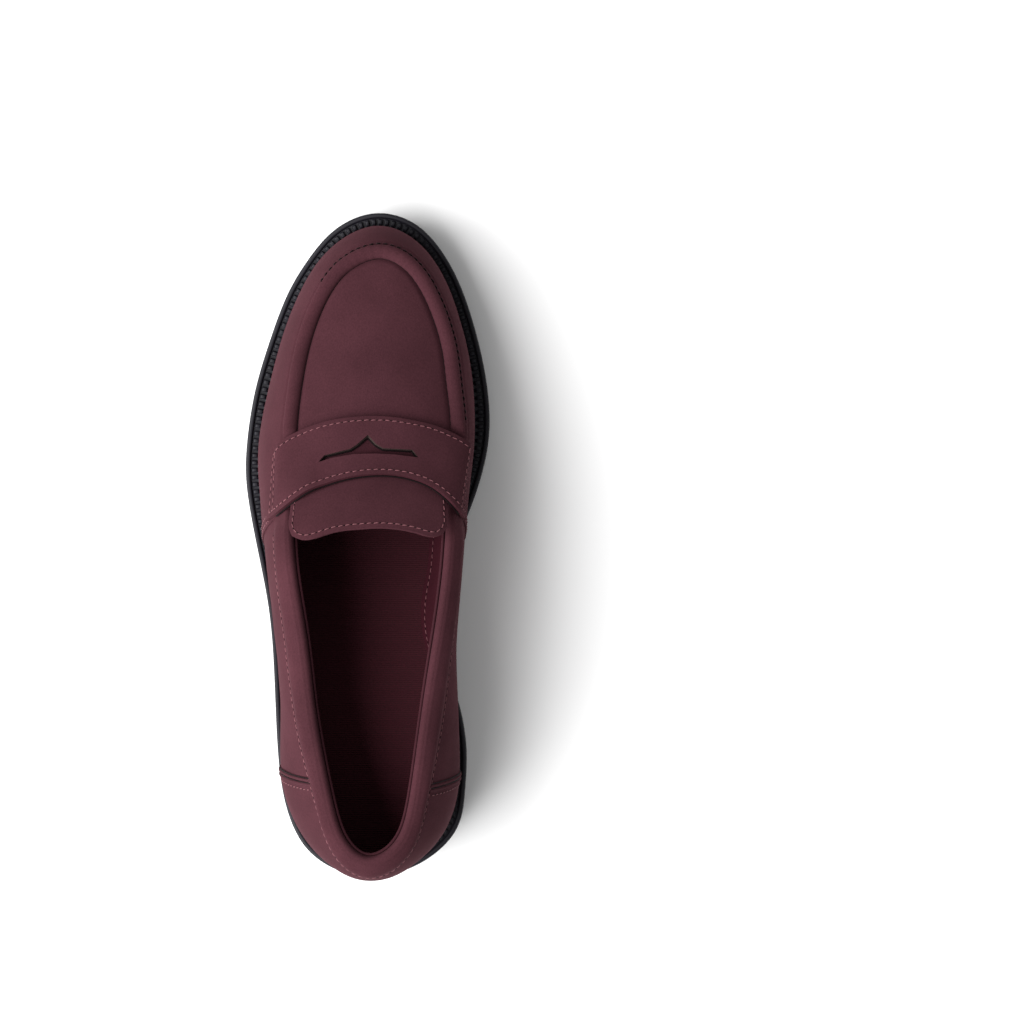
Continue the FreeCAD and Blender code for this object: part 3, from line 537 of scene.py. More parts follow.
class Look:
    """A procedural material: its shader, and short calls that add the nodes before it."""

    def __init__(self, name):
        self.material = bpy.data.materials.new(name)
        self.material.use_nodes = True
        self.tree = self.material.node_tree
        self.tree.nodes.clear()
        self.shader = self.node("BsdfPrincipled")
        self.feed(self.node("OutputMaterial").inputs["Surface"], self.shader.outputs["BSDF"])
        self.coords = self.node("TexCoord").outputs["Object"]
        self.last_bump = None

    def node(self, kind):
        return self.tree.nodes.new("ShaderNode" + kind)

    def feed(self, socket, given):
        """Links a node's output to a socket, or sets the socket to a plain value."""
        if isinstance(given, bpy.types.NodeSocket):
            self.tree.links.new(given, socket)
        else:
            socket.default_value = given

    def set(self, **sockets):
        """Feeds the shader's sockets; an underscore stands for a space."""
        for name, given in sockets.items():
            self.feed(self.shader.inputs[name.replace("_", " ")], given)

    def noise(self, scale, detail, rough, stretch=None):
        coords = self.coords
        if stretch:
            mapping = self.node("Mapping")
            self.feed(mapping.inputs["Scale"], stretch)
            self.feed(mapping.inputs["Vector"], coords)
            coords = mapping.outputs["Vector"]
        texture = self.node("TexNoise")
        for name, given in (("Scale", scale), ("Detail", detail), ("Roughness", rough),
                            ("Vector", coords)):
            self.feed(texture.inputs[name], given)
        return texture.outputs["Fac"]

    def ramp(self, factor, *stops):
        """Colour that follows a factor; each stop is a place and a colour."""
        node = self.node("ValToRGB")
        elements = node.color_ramp.elements
        while len(elements) < len(stops):
            elements.new(0.5)
        for element, (place, colour) in zip(elements, stops):
            element.position = place
            element.color = (*colour, 1.0)
        self.feed(node.inputs["Fac"], factor)
        return node.outputs["Color"]

    def mix(self, factor, a, b, blend="MIX"):
        node = self.node("Mix")
        node.data_type = "RGBA"
        node.blend_type = blend
        live = {socket.name: socket for socket in node.inputs if socket.enabled}
        for name, given in (("Factor", factor), ("A", a), ("B", b)):
            self.feed(live[name], given)
        return next(socket for socket in node.outputs if socket.enabled)

    def scaled(self, value, low, high):
        node = self.node("MapRange")
        self.feed(node.inputs["To Min"], low)
        self.feed(node.inputs["To Max"], high)
        self.feed(node.inputs["Value"], value)
        return node.outputs["Result"]

    def bump(self, height, strength, distance):
        """Adds a bump of the given depth in millimetres on top of those before it."""
        node = self.node("Bump")
        self.feed(node.inputs["Strength"], strength)
        self.feed(node.inputs["Distance"], distance * MM)
        self.feed(node.inputs["Height"], height)
        if self.last_bump:
            self.feed(node.inputs["Normal"], self.last_bump)
        self.last_bump = node.outputs["Normal"]
        self.set(Normal=self.last_bump)


def tint(colour, gain):
    return tuple(min(c * gain, 1.0) for c in colour)


BLACK, WHITE = (0.0, 0.0, 0.0), (1.0, 1.0, 1.0)
WINE_SHEEN = (1.0, 0.40, 0.47, 1.0)


def nubuck(name, colour, rough=0.92, sheen=0.05):
    """Brushed leather: a very fine nap, soft cloudy patches and scattered paler fibres."""
    look = Look(name)
    base = look.ramp(look.noise(38.0, 4.0, 0.55), (0.32, tint(colour, 0.87)), (0.50, colour),
                     (0.70, tint(colour, 1.13)))
    nap = look.noise(2100.0, 3.0, 0.65, stretch=(1.0, 0.6, 1.0))
    fibre = look.ramp(nap, (0.30, (0.82, 0.81, 0.81)), (0.5, WHITE), (0.72, (1.20, 1.18, 1.18)))
    scuff = look.ramp(look.noise(700.0, 5.0, 0.75), (0.62, BLACK), (0.84, WHITE))
    look.set(Base_Color=look.mix(scuff, look.mix(1.0, base, fibre, "MULTIPLY"),
                                 (*tint(colour, 1.5), 1.0)),
             Roughness=look.scaled(nap, rough - 0.08, min(rough + 0.08, 1.0)),
             Specular_IOR_Level=0.03, Sheen_Weight=sheen, Sheen_Roughness=0.35,
             Sheen_Tint=WINE_SHEEN)
    look.bump(nap, 0.25, 0.08)
    look.bump(look.noise(900.0, 2.0, 0.5), 0.20, 0.10)
    return look.material


def moulded(name, colour, rough=0.55):
    """Moulded or pressed stuff with a faint bloom and fine grain: rubber, foam, board, cork."""
    look = Look(name)
    bloom = look.noise(60.0, 4.0, 0.6)
    look.set(Base_Color=look.ramp(bloom, (0.35, tint(colour, 0.85)), (0.70, tint(colour, 1.30))),
             Roughness=look.scaled(bloom, rough - 0.08, rough + 0.10), Specular_IOR_Level=0.28)
    look.bump(look.noise(2200.0, 2.0, 0.5), 0.30, 0.06)
    return look.material


def ribbed_cloth(name, colour, pitch, direction=(0.0, 1.0, 0.0), depth=0.25):
    """Textile with fine ribs; pitch in millimetres along the given direction."""
    look = Look(name)
    dot = look.node("VectorMath")
    dot.operation = "DOT_PRODUCT"
    look.feed(dot.inputs[0], look.coords)
    look.feed(dot.inputs[1], direction)
    turns = look.node("Math")
    turns.operation = "MULTIPLY"
    look.feed(turns.inputs[0], dot.outputs["Value"])
    look.feed(turns.inputs[1], 2 * math.pi / (pitch * MM))
    sine = look.node("Math")
    sine.operation = "SINE"
    look.feed(sine.inputs[0], turns.outputs[0])
    rib = look.node("MapRange")
    look.feed(rib.inputs["From Min"], -1.0)
    look.feed(rib.inputs["Value"], sine.outputs[0])
    rib = rib.outputs["Result"]
    yarn = look.noise(1800.0, 2.0, 0.6)
    # Colour follows the ribs: darker in the valleys and lighter on the crests, as painted shade and
    # painted highlight.
    base = look.ramp(rib, (0.0, tint(colour, 0.72)), (1.0, tint(colour, 1.25)))
    speck = look.ramp(yarn, (0.3, (0.75, 0.75, 0.75)), (0.7, (1.25, 1.25, 1.25)))
    look.set(Base_Color=look.mix(1.0, base, speck, "MULTIPLY"),
             Roughness=look.scaled(yarn, 0.80, 0.98), Specular_IOR_Level=0.2,
             Sheen_Weight=0.08, Sheen_Tint=WINE_SHEEN)
    look.bump(rib, 0.6, depth)
    look.bump(yarn, 0.3, 0.08)
    return look.material


def thread(name, colour):
    """Twisted thread: fine strands with a dull shine."""
    look = Look(name)
    strand = look.noise(2600.0, 2.0, 0.5, stretch=(1.0, 0.4, 1.0))
    look.set(Base_Color=look.ramp(strand, (0.30, tint(colour, 0.70)), (0.70, tint(colour, 1.25))),
             Roughness=look.scaled(strand, 0.60, 0.80), Specular_IOR_Level=0.1)
    look.bump(strand, 0.4, 0.05)
    return look.material


NUBUCK = (0.0505, 0.0174, 0.0225)
NUBUCK_DARK = (0.036, 0.011, 0.015)
RUBBER = (0.0052, 0.0045, 0.0082)
CLOTH = (0.037, 0.0056, 0.0098)
THREAD = (0.170, 0.068, 0.078)

MAT_NUBUCK = nubuck("nubuck", NUBUCK)
# Darker nubuck used as painted shade: on the strap's cut edges, on the strip seen through the slit, and
# on the counter and toe puff where slivers show.
MAT_PAINTED_SHADE_NUBUCK = nubuck("nubuck_painted_shade", NUBUCK_DARK, 0.80, 0.15)
MAT_BINDING = nubuck("binding", NUBUCK_DARK, 0.70, 0.10)
MAT_RUBBER = moulded("rubber", RUBBER)
MAT_TREAD = moulded("tread", tint(RUBBER, 1.15), 0.62)
MAT_SOCK = ribbed_cloth("sock", CLOTH, SOCK_RIB_PITCH)
MAT_LINING = ribbed_cloth("lining", tint(CLOTH, 0.9), 1.1, (0.0, 0.6, 0.8), 0.12)
MAT_THREAD = thread("thread", THREAD)
MAT_FOAM = moulded("foam", (0.50, 0.46, 0.40), 0.95)
# Near-black thread colour used as painted shade: in needle holes, on the apron's sunk thread and in the
# gaps beside seams.
MAT_PAINTED_SHADE = thread("painted_shade_thread", tint(NUBUCK_DARK, 0.22))
# Still darker colour used as painted shade: inside the slit and in the gaps under the strap's edges.
MAT_PAINTED_DEEP_SHADE = thread("gap", tint(NUBUCK_DARK, 0.12))
MAT_CUT = nubuck("cut_edge", (0.034, 0.024, 0.022))
MAT_PAD = nubuck("pad_leather", (0.043, 0.0090, 0.0145))


# ---- upper: walls

UPWARDS = np.array([0.0, 0.0, 1.0])
PINCH, VAMP_LAP = 0.35, 0.14
FOLD_WIDE, FOLD_HIGH, FOLD_GAP = 0.62, 0.60, 0.22
HEM_HIGH, PAD_HIGH, BAND_THICK = 0.40, 1.65, 1.2
STRAP_COVERS = 5.35  # ring place from which the strap lies over the collar


def build_vamp():
    """Vamp wall from strap to strap round the toe; its top turns in below the bead."""
    t, s = wall_net(vamp_rear_lateral, vamp_rear_medial, 0.0, fixed(1.0), 460, 56)
    edge = np.minimum(t - vamp_rear_lateral(s), vamp_rear_medial(s) - t)
    lap = 0.35 * (1 - ease(edge / 0.30)) + 0.05
    crease = -0.30 * bump(s - 0.925, 0.035) * ease((t - 10.3) / 1.0)
    groove = -0.45 * bump(s - 1.0, 0.04)
    outer = wall_point(t, s, lap + crease + groove - PINCH * bump(s, 0.05) + ripple(t, s, 11))
    inner = wall_point(t, s, -LEATHER)
    rim = TOP_XYZ(t[:, -1])
    for step, drop in ((0.7, 0.25), (1.6, 0.75), (2.6, 1.1)):
        plan = (rim - outward(t[:, -1]) * step)[:, :2]
        z = np.minimum(instep_height(plan[:, 0], plan[:, 1]), rim[:, 2] + 1.0) - drop
        turned = raised(plan, z)[:, None]
        outer = np.concatenate([outer, turned], 1)
        inner = np.concatenate([inner, turned - LEATHER * UPWARDS], 1)
    finish_piece(slab_object("vamp", outer, inner, MAT_NUBUCK), "vamp_wall")


def panel_lift(t, s):
    """How far a rear panel is pressed in below the collar and at the feather line."""
    tuck = 1 - ease((below_collar(t) - s) / 0.05)
    return -PINCH * (tuck + bump(s, 0.05))


def build_quarters():
    """Side quarters from the heel panel to the vamp, tucked under both."""
    for name, start, end, node, seed in (
            ("quarter_outer_side", fixed(SEAM_OUTER), lambda s: vamp_rear_lateral(s) + VAMP_LAP,
             "quarter_lateral", 21),
            ("quarter_inner_side", lambda s: vamp_rear_medial(s) - VAMP_LAP, fixed(SEAM_INNER),
             "quarter_medial", 22)):
        t, s = wall_net(start, end, 0.0, below_collar, 150, 44)
        outer = wall_point(t, s, panel_lift(t, s) - 0.15 + ripple(t, s, seed))
        finish_piece(slab_object(name, outer, wall_point(t, s, -LEATHER), MAT_NUBUCK), node)


def build_heel_panel():
    """Back panel between the two folded seams."""
    start, end = SEAM_INNER - RIB_COUNT, SEAM_OUTER
    t, s = wall_net(fixed(start), fixed(end), 0.0, below_collar, 130, 44)
    near_seam = 0.30 * (bump(end - t, 0.20) + bump(start - t, 0.20))
    outer = wall_point(t, s, panel_lift(t, s) + near_seam + 0.05 + ripple(t, s, 31))
    finish_piece(slab_object("heel_back_panel", outer, wall_point(t, s, -LEATHER), MAT_NUBUCK),
                 "heel_panel")


def build_heel_seams():
    """Each folded seam beside the heel panel: two rolled ridges, and dark lines of painted shade in the
    gaps along them.
    """
    s = np.linspace(0.01, 0.88, 90)
    for side, seam, name in ((1.0, SEAM_OUTER, "lateral"), (-1.0, RIB_COUNT - SEAM_INNER, "medial")):
        def seam_line(shift, lift):
            t = side * (seam + shift) + 0 * s
            path = wall_point(t, s, lift)
            return path, np.cross(wall_normal(t, s), unit(np.gradient(path, axis=0)))
        for shift, letter, nodes in ((0.025, "a", ["heel_piping_" + name]), (-0.035, "b", [])):
            ridge = tube_object("heel_fold_%s_%s" % (name, letter), *seam_line(shift, 0.22),
                                FOLD_WIDE, FOLD_HIGH, MAT_NUBUCK, around=14)
            finish_piece(ridge, *nodes)
        for shift, place in ((-0.006, "inner"), (0.056, "outer")):
            gap_line("heel_gap_%s_%s" % (name, place), *seam_line(shift, 0.30),
                     FOLD_GAP, FOLD_GAP, MAT_PAINTED_SHADE)


def collar_level(t, share):
    """Wall height of a share of the band, whose hem laps just below the seam."""
    low = collar_seam(t) - COLLAR_HEM
    return low + (1 - low) * share


def collar_lift(t, share):
    """Height of the padded band above the wall: a flat sewn hem, then the pad."""
    base = wall_surface(t, collar_level(t, share))
    pad = np.sin(math.pi * np.clip((share - 0.13) / 0.87, 0.0, 1.0)) ** 1.1
    wrinkle = 0.14 * waves(base * np.array([1.0, 1.0, 0.35]), 9.0, 41)
    under_strap = 1 - 0.92 * ease((np.abs(signed(t)) - STRAP_COVERS) / 0.45)
    return (HEM_HIGH + (PAD_HIGH + wrinkle) * pad) * under_strap


def build_collar():
    """Padded collar band from strap to strap round the heel, with a rounded rim and a binding."""
    rim_radius, rim_start, rim_end = 2.0, 24.0, 165.0
    binding_radius, binding_out, binding_at = 0.62, 2.75, 168.0
    span = np.linspace(-COLLAR_TUCK, COLLAR_TUCK, 460)
    t = span[:, None]
    shares = np.linspace(0.0, 1.0, 26)[None, :]
    s = collar_level(t, shares)
    puff = collar_lift(t, shares)
    outer, inner = wall_point(t, s, puff), wall_point(t, s, puff - BAND_THICK)
    top = wall_surface(span, 1.0)
    out = wall_normal(span, 1.0)
    up = top - wall_surface(span, 0.97)
    up = unit(up - out * np.sum(up * out, -1, keepdims=True))

    def spoke(degrees):
        return out * math.cos(math.radians(degrees)) + up * math.sin(math.radians(degrees))
    centre = top - rim_radius * spoke(rim_start)
    for degrees in np.linspace(rim_start, rim_end, 15)[1:]:
        outer = np.concatenate([outer, (centre + rim_radius * spoke(degrees))[:, None]], 1)
        inner = np.concatenate([inner, (centre + (rim_radius - 1.0) * spoke(degrees))[:, None]], 1)
    collar = slab_object("collar", outer, inner, MAT_NUBUCK)
    finish_piece(collar, "collar_band", "collar_foam")

    binding = tube_object("collar_binding", centre + binding_out * spoke(binding_at), out,
                          binding_radius, binding_radius, MAT_BINDING, around=12)
    finish_piece(binding, "topline_binding", slot="binding_leather")


def build_linings():
    """Inner skins seen through the mouth."""
    for name, start, end, top, across, proud, node in (
            ("lining_outer_side", fixed(SEAM_OUTER), vamp_rear_lateral, 1.0, 120, 0.0,
             "quarter_lining_lateral"),
            ("lining_inner_side", vamp_rear_medial, fixed(SEAM_INNER), 1.0, 120, 0.0,
             "quarter_lining_medial"),
            ("lining_heel", fixed(SEAM_INNER - RIB_COUNT - 0.02), fixed(SEAM_OUTER + 0.02), 1.0,
             120, 0.25, "heel_grip_lining"),
            ("lining_forefoot", vamp_rear_lateral, vamp_rear_medial, 0.97, 260, 0.0,
             "vamp_lining")):
        t, s = wall_net(start, end, 0.02, fixed(top), across, 40)
        inner = wall_point(t, s, -LINING_DEPTH - proud + 0.6 * ripple(t, s, 51))
        finish_piece(slab_object(name, wall_point(t, s, -2.7), inner, MAT_LINING, 0.15), node,
                     slot="lining_fabric")


# ---- upper: apron

BEAD_WIDE, BEAD_LOW, BEAD_SWELL = 2.85, 0.55, 1.35
PUCKER_HIGH, PUCKER_PITCH = 0.03, 3.4
PLUG_REAR_Y, PLUG_DISH, PLUG_DISH_WIDE = 33.0, 1.35, 3.6
PLUG_LEFT_CORNER, PLUG_RIGHT_CORNER = 10.55, 13.35


def bead_path(t, inward=3.1):
    """Line inside the top of the wall, a little above the instep."""
    plan = (TOP_XYZ(t) - outward(t) * inward)[:, :2]
    return raised(plan, instep_height(plan[:, 0], plan[:, 1]) + 0.3)


def build_bead():
    """Rolled bead round the apron; its ends flatten out below the strap."""
    t = np.linspace(BEAD_START - 0.30, BEAD_END + 0.30, 900)
    path = bead_path(t)
    flat = ease((t - BEAD_START + 0.25) / 0.35) * ease((BEAD_END + 0.25 - t) / 0.35)
    turns = walked(path) / PUCKER_PITCH
    pucker = PUCKER_HIGH * np.cos(turns * 2 * math.pi) * ease((t - 10.0) / 1.5)
    soft = pucker + 0.08 * waves(path, 22.0, 61)
    path[:, 2] -= 0.9 * (1 - flat)
    bead = tube_object("apron_roll", path, outward(t), BEAD_WIDE + soft,
                       BEAD_LOW + (BEAD_SWELL + soft) * flat, MAT_NUBUCK, around=28)
    finish_piece(bead, "apron_bead")

    t = np.linspace(BEAD_START, BEAD_END, 700)
    # Dark line of painted shade in the crease where the bead meets the plug.
    gap_line("apron_seam_shade", bead_path(t, 6.0) - 1.06 * UPWARDS, outward(t), 0.24, 0.24, MAT_PAINTED_SHADE)


def patch(left, right, near, far):
    """Grid filled between four plan curves; left and right run from near to far."""
    u = np.linspace(0, 1, len(near))[:, None, None]
    v = np.linspace(0, 1, len(left))[None, :, None]
    corners = ((1 - u) * (1 - v) * near[0] + u * (1 - v) * near[-1]
               + (1 - u) * v * far[0] + u * v * far[-1])
    return ((1 - v) * near[:, None] + v * far[:, None]
            + (1 - u) * left[None] + u * right[None] - corners)


def nearest(plan, edge):
    """Distance of every plan point from a dense edge line."""
    flat = plan.reshape(-1, 2)
    return np.linalg.norm(flat[:, None] - edge[None], axis=-1).min(1).reshape(plan.shape[:2])


def build_plug():
    """Apron panel inside the bead, dished down along its edge."""
    t = np.linspace(6.9, 17.12, 500)
    rim = bead_path(t, 4.3)[:, :2]
    keep = rim[:, 1] >= PLUG_REAR_Y
    t, rim = t[keep], rim[keep]
    left = even(rim[t <= PLUG_LEFT_CORNER][::4], 120)
    far = even(rim[(t >= PLUG_LEFT_CORNER) & (t <= PLUG_RIGHT_CORNER)][::4], 90)
    right = even(rim[t >= PLUG_RIGHT_CORNER][::-4], 120)
    far[0], far[-1] = left[-1], right[-1]
    near = even([left[0], (left[0] + right[0]) / 2, right[0]], 90)
    plan = patch(left, right, near, far)
    to_edge = nearest(plan, rim)
    points = raised(plan, instep_height(plan[..., 0], plan[..., 1]))
    wave = 0.16 * waves(points, 30.0, 71) * ease(to_edge / 8.0)
    points[..., 2] += wave - PLUG_DISH * (1 - ease(to_edge / PLUG_DISH_WIDE))
    finish_piece(slab_object("apron_panel", points, points - LEATHER * UPWARDS, MAT_NUBUCK, 0),
                 "apron_plug", "apron_lining")


# ---- strap

STRAP_TOP = [((-26.7, 42.3), (-22.5, 18.2)), ((-16.7, 46.4), (-15.5, 21.5)),
             ((-7.0, 48.6), (-6.5, 24.4)), ((2.3, 49.4), (3.0, 26.0)),
             ((12.0, 49.0), (12.0, 26.0)), ((20.8, 47.5), (20.0, 24.4)),
             ((29.5, 45.1), (28.5, 20.4))]
# Strap ends on the wall: front level and ring position, rear level and position, lift.
STRAP_ENDS_OUTER = [(0.900, 6.77, 0.710, 5.67, 0.35), (0.925, 6.83, 0.785, 5.71, 0.45),
                    (0.955, 6.88, 0.870, 5.75, 0.70), (0.985, 6.93, 0.955, 5.79, 1.05)]
STRAP_ENDS_INNER = [(0.950, 17.20, 0.800, 18.33, 0.35), (0.962, 17.19, 0.855, 18.31, 0.45),
                    (0.974, 17.175, 0.915, 18.29, 0.70), (0.988, 17.16, 0.965, 18.27, 1.05)]
STRAP_UNDER, STRAP_OVER, STRAP_BREADTH = 1.45, 2.85, 24.0
# Outline of the slit: its first points run along the front edge, the rest along the rear one.
SLOT_EDGE = np.array([(-16.7, 32.2), (-14.5, 34.8), (-4.4, 37.3), (-1.9, 38.9), (2.5, 42.8),
                      (5.9, 39.2), (8.6, 37.6), (20.0, 37.0), (22.3, 34.0), (13.3, 35.1),
                      (5.8, 35.5), (-2.9, 35.3), (-11.1, 33.9)])
SLOT_FRONT_POINTS = 9
SLIT_BAND = 0.95


def strap_surface(columns, shares, offset):
    """Smooth grid over the strap; shares run from its rear edge to its front edge."""
    def end_lines(ends):
        return [wall_point(rear + (front - rear) * shares, rear_s + (front_s - rear_s) * shares,
                           offset - STRAP_UNDER + lift)
                for front_s, front, rear_s, rear, lift in ends]
    nodes = end_lines(STRAP_ENDS_OUTER)
    for front, rear in np.array(STRAP_TOP):
        nodes.append(instep_point(rear + (front - rear) * shares[:, None], offset))
    nodes = np.array(nodes + end_lines(STRAP_ENDS_INNER)[::-1])
    run = walked(nodes[:, len(shares) // 2])
    return spline(run / run[-1], nodes)(columns)


def slot_cutter():
    """Upright prism through the strap in the outline of the slit; its near-black colour is painted shade.
    """
    count = len(SLOT_EDGE)
    faces = [tuple(range(count)), tuple(range(2 * count - 1, count - 1, -1))]
    for i in range(count):
        j = (i + 1) % count
        faces.append((i, j, count + j, count + i))
    walls = np.stack([raised(SLOT_EDGE, 55.0), raised(SLOT_EDGE, 85.0)])
    return make_object("slot_cutter", walls, faces, MAT_PAINTED_DEEP_SHADE)


def build_strap():
    """Saddle strap across the instep with its cut slit, the strip behind it and its dark edges; the
    edges, the slit's walls and the strip are painted shade.
    """
    columns = np.linspace(0, 1, 240)
    shares = np.linspace(0, 1, 44)
    outer = strap_surface(columns, shares, STRAP_OVER)
    inner = strap_surface(columns, shares, STRAP_UNDER)
    swell = 0.14 * waves(outer, 24.0, 81)
    edge = np.minimum(shares, 1 - shares)[None, :] * STRAP_BREADTH
    outer[..., 2] += swell - 0.30 * (1 - ease(edge / 1.6))
    inner[..., 2] += swell
    # The cut edges take the darker nubuck as painted shade.
    strap = slab_object("strap", outer, inner, MAT_NUBUCK, 0, edge=MAT_PAINTED_SHADE_NUBUCK)
    cutter = slot_cutter()
    cut = strap.modifiers.new("slit", "BOOLEAN")
    cut.operation = "DIFFERENCE"
    cut.solver = "EXACT"
    # The slit's cut walls take the cutter's near-black colour as painted shade.
    cut.material_mode = "TRANSFER"
    cut.object = cutter
    bake(strap)
    bpy.data.objects.remove(cutter)
    add_bevel(strap, 0.28, 55)
    bake(strap)
    finish_piece(strap, "saddle_strap")

    # The strip behind the slit is darker nubuck as painted shade.
    columns = np.linspace(0.22, 0.78, 120)
    shares = np.linspace(0.02, 0.86, 24)
    backing = slab_object("strap_lining", strap_surface(columns, shares, 0.60),
                          strap_surface(columns, shares, 0.10), MAT_PAINTED_SHADE_NUBUCK, 0.15)
    finish_piece(backing, "strap_backing")


def build_slit_edge():
    """The slit's thick front lip, cut on a bevel, with a dark line of painted shade in the gap at its
    foot.
    """
    edge = SLOT_EDGE[:SLOT_FRONT_POINTS]
    walk = walked(edge)
    line = along_line(np.linspace(0.3, walk[-1] - 0.3, 260), walk, edge)
    along = unit(np.gradient(line, axis=0))
    for _ in range(10):
        along[1:-1] = unit(along[:-2] + along[1:-1] + along[2:])
    into = np.stack([along[:, 1], -along[:, 0]], -1)
    top = np.stack([instep_point(line + into * step, offset) for step, offset in
                    ((-0.15, STRAP_OVER - 0.12), (0.35, 2.35), (SLIT_BAND, 1.35))], 1)
    finish_piece(slab_object("slit_lip", top, top - 0.45 * UPWARDS, MAT_CUT, 0))
    gap_line("slit_gap", instep_point(line + into * (SLIT_BAND + 0.22), 0.95),
             raised(into, 0.0), 0.30, 0.36, MAT_PAINTED_DEEP_SHADE)


def build_strap_gaps():
    """Dark lines of painted shade below the strap's rear and front edges."""
    columns = np.linspace(0.06, 0.94, 400)
    for name, share, inward, size in (("rear", 0.0, -0.25, 0.30), ("front", 1.0, 0.12, 0.22)):
        line = strap_surface(columns, np.array([share, 0.5]), STRAP_UNDER - 0.05)
        across = unit(line[:, 1] - line[:, 0])
        gap_line("strap_gap_" + name, line[:, 0] + across * inward, across, size, size, MAT_PAINTED_DEEP_SHADE)


# ---- tongue

TONGUE_LEFT = np.array([(-26.6, 33.0), (-27.0, 24.0), (-27.4, 16.0), (-27.8, 11.0),
                        (-27.9, 7.6), (-26.6, 3.8)])
TONGUE_RIGHT = np.array([(33.2, 33.0), (33.6, 24.0), (34.0, 16.0), (34.2, 11.5),
                         (34.1, 8.0), (32.4, 4.6)])
TONGUE_BACK = np.array([(-26.6, 3.8), (-22.8, 2.3), (-12.0, 4.6), (0.0, 6.4), (7.2, 6.8),
                        (14.0, 6.4), (24.0, 4.3), (29.0, 3.3), (32.4, 4.6)])
TONGUE_THICK, TONGUE_LINING_THICK = 1.3, 0.65


def tongue_seam():
    """Line of the stitches a little inside the tongue's free edge."""
    line = even(np.concatenate([even(TONGUE_LEFT, 40)[8:-3], even(TONGUE_BACK, 60)[3:-3],
                                even(TONGUE_RIGHT, 40)[8:-3][::-1]]), 500)
    along = unit(np.gradient(line, axis=0))
    aside = np.stack([-along[:, 1], along[:, 0]], -1)
    to_middle = np.array([3.0, 20.0]) - line
    aside *= np.where(np.sum(aside * to_middle, -1, keepdims=True) < 0, -1.0, 1.0)
    plan = line + 1.7 * aside
    return instep_point(plan, 0.02), instep_normal(plan)


def build_tongue():
    """One supple tongue running under the strap; its free end bends up."""
    across, back = 130, 76
    front = [TONGUE_LEFT[0], (TONGUE_LEFT[0] + TONGUE_RIGHT[0]) / 2, TONGUE_RIGHT[0]]
    plan = patch(even(TONGUE_LEFT, back), even(TONGUE_RIGHT, back), even(front, across),
                 even(TONGUE_BACK, across))
    free = nearest(plan, np.concatenate([even(TONGUE_LEFT, 60), even(TONGUE_BACK, 120),
                                         even(TONGUE_RIGHT, 60)]))
    wave = 0.15 * waves(instep_point(plan), 24.0, 91)
    outer = instep_point(plan, wave - 0.45 * (1 - ease(free / 2.4)))
    tongue = slab_object("tongue", outer, instep_point(plan, -TONGUE_THICK), MAT_NUBUCK, 0.35)
    middle = plan.mean((0, 1))
    small = middle + 0.97 * (plan - middle)
    top = -TONGUE_THICK - 0.05
    lining = slab_object("tongue_lining", instep_point(small, top),
                         instep_point(small, top - TONGUE_LINING_THICK), MAT_LINING, 0.15)
    sewing = stitches("tongue_stitches", [tongue_seam()], MAT_THREAD)
    for obj, nodes, slot in ((tongue, ("tongue_flap", "tongue_base"), "nubuck"),
                             (lining, ("tongue_flap_lining",), "lining_fabric"),
                             (sewing, ("stitching_tongue",), "thread")):
        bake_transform(obj)
        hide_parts(*nodes)


# ---- stitching

def wall_line(t, s, offset):
    return wall_point(t, s, offset), wall_normal(t, s)


def strap_line(columns, shares):
    """Line over the strap between pairs of column and share, read off a fine grid."""
    wide, long = 240, 60
    fine = np.linspace(0, 1, wide + 1), np.linspace(0, 1, long + 1)
    c, r = columns * wide, shares * long
    i, j = np.clip(c.astype(int), 0, wide - 1), np.clip(r.astype(int), 0, long - 1)
    f, g = (c - i)[:, None], (r - j)[:, None]

    def pick(a):
        return ((1 - f) * (1 - g) * a[i, j] + f * (1 - g) * a[i + 1, j]
                + (1 - f) * g * a[i, j + 1] + f * g * a[i + 1, j + 1])
    top = pick(strap_surface(*fine, STRAP_OVER))
    return top, unit(top - pick(strap_surface(*fine, STRAP_UNDER)))


def build_stitching():
    t = np.linspace(10.2, BEAD_END - 0.1, 900)
    normal = unit(0.6 * wall_normal(t, 0.98) + 0.8 * UPWARDS)
    # The apron's sunk thread is drawn near-black as painted shade.
    sewing = stitches("apron_stitches", [(bead_path(t, -0.12), normal)], MAT_PAINTED_SHADE,
                      pitch=2.75, length=1.7, radius=0.36, holes=False)
    finish_piece(sewing, "stitching_apron", slot="thread")

    columns = np.linspace(0.02, 0.98, 500)
    shares = np.linspace(0.06, 0.94, 120)
    lines = [strap_line(columns, np.full_like(columns, place)) for place in (0.075, 0.93)]
    lines += [strap_line(np.full_like(shares, place), shares)
              for place in (0.025, 0.053, 0.936, 0.964)]
    sew("strap_stitches", lines, "stitching_strap")

    ring = np.linspace(-5.45, 5.45, 1400)
    share = 0.075
    sew("collar_stitches", [wall_line(ring, collar_level(ring, share), collar_lift(ring, share))],
        "stitching_collar")

    s = np.linspace(0.03, 0.84, 300)
    sew("heel_stitches", [wall_line(seam + 0 * s, s, 0.22) for seam in
                          (SEAM_OUTER - 0.105, SEAM_INNER - RIB_COUNT + 0.105)],
        "stitching_heel_panel")

    s = np.linspace(0.04, 0.72, 300)
    lines = []
    for shift, lift in ((0.06, 0.38), (0.17, 0.26)):
        lines.append(wall_line(vamp_rear_lateral(s) + shift, s, lift))
        lines.append(wall_line(vamp_rear_medial(s) - shift, s, lift))
    sew("vamp_stitches", lines, "stitching_vamp")


# ---- sole and bed

TOOTH_PITCH, TOOTH_HIGH, BLANK_HIGH = 3.1, 1.15, 0.75
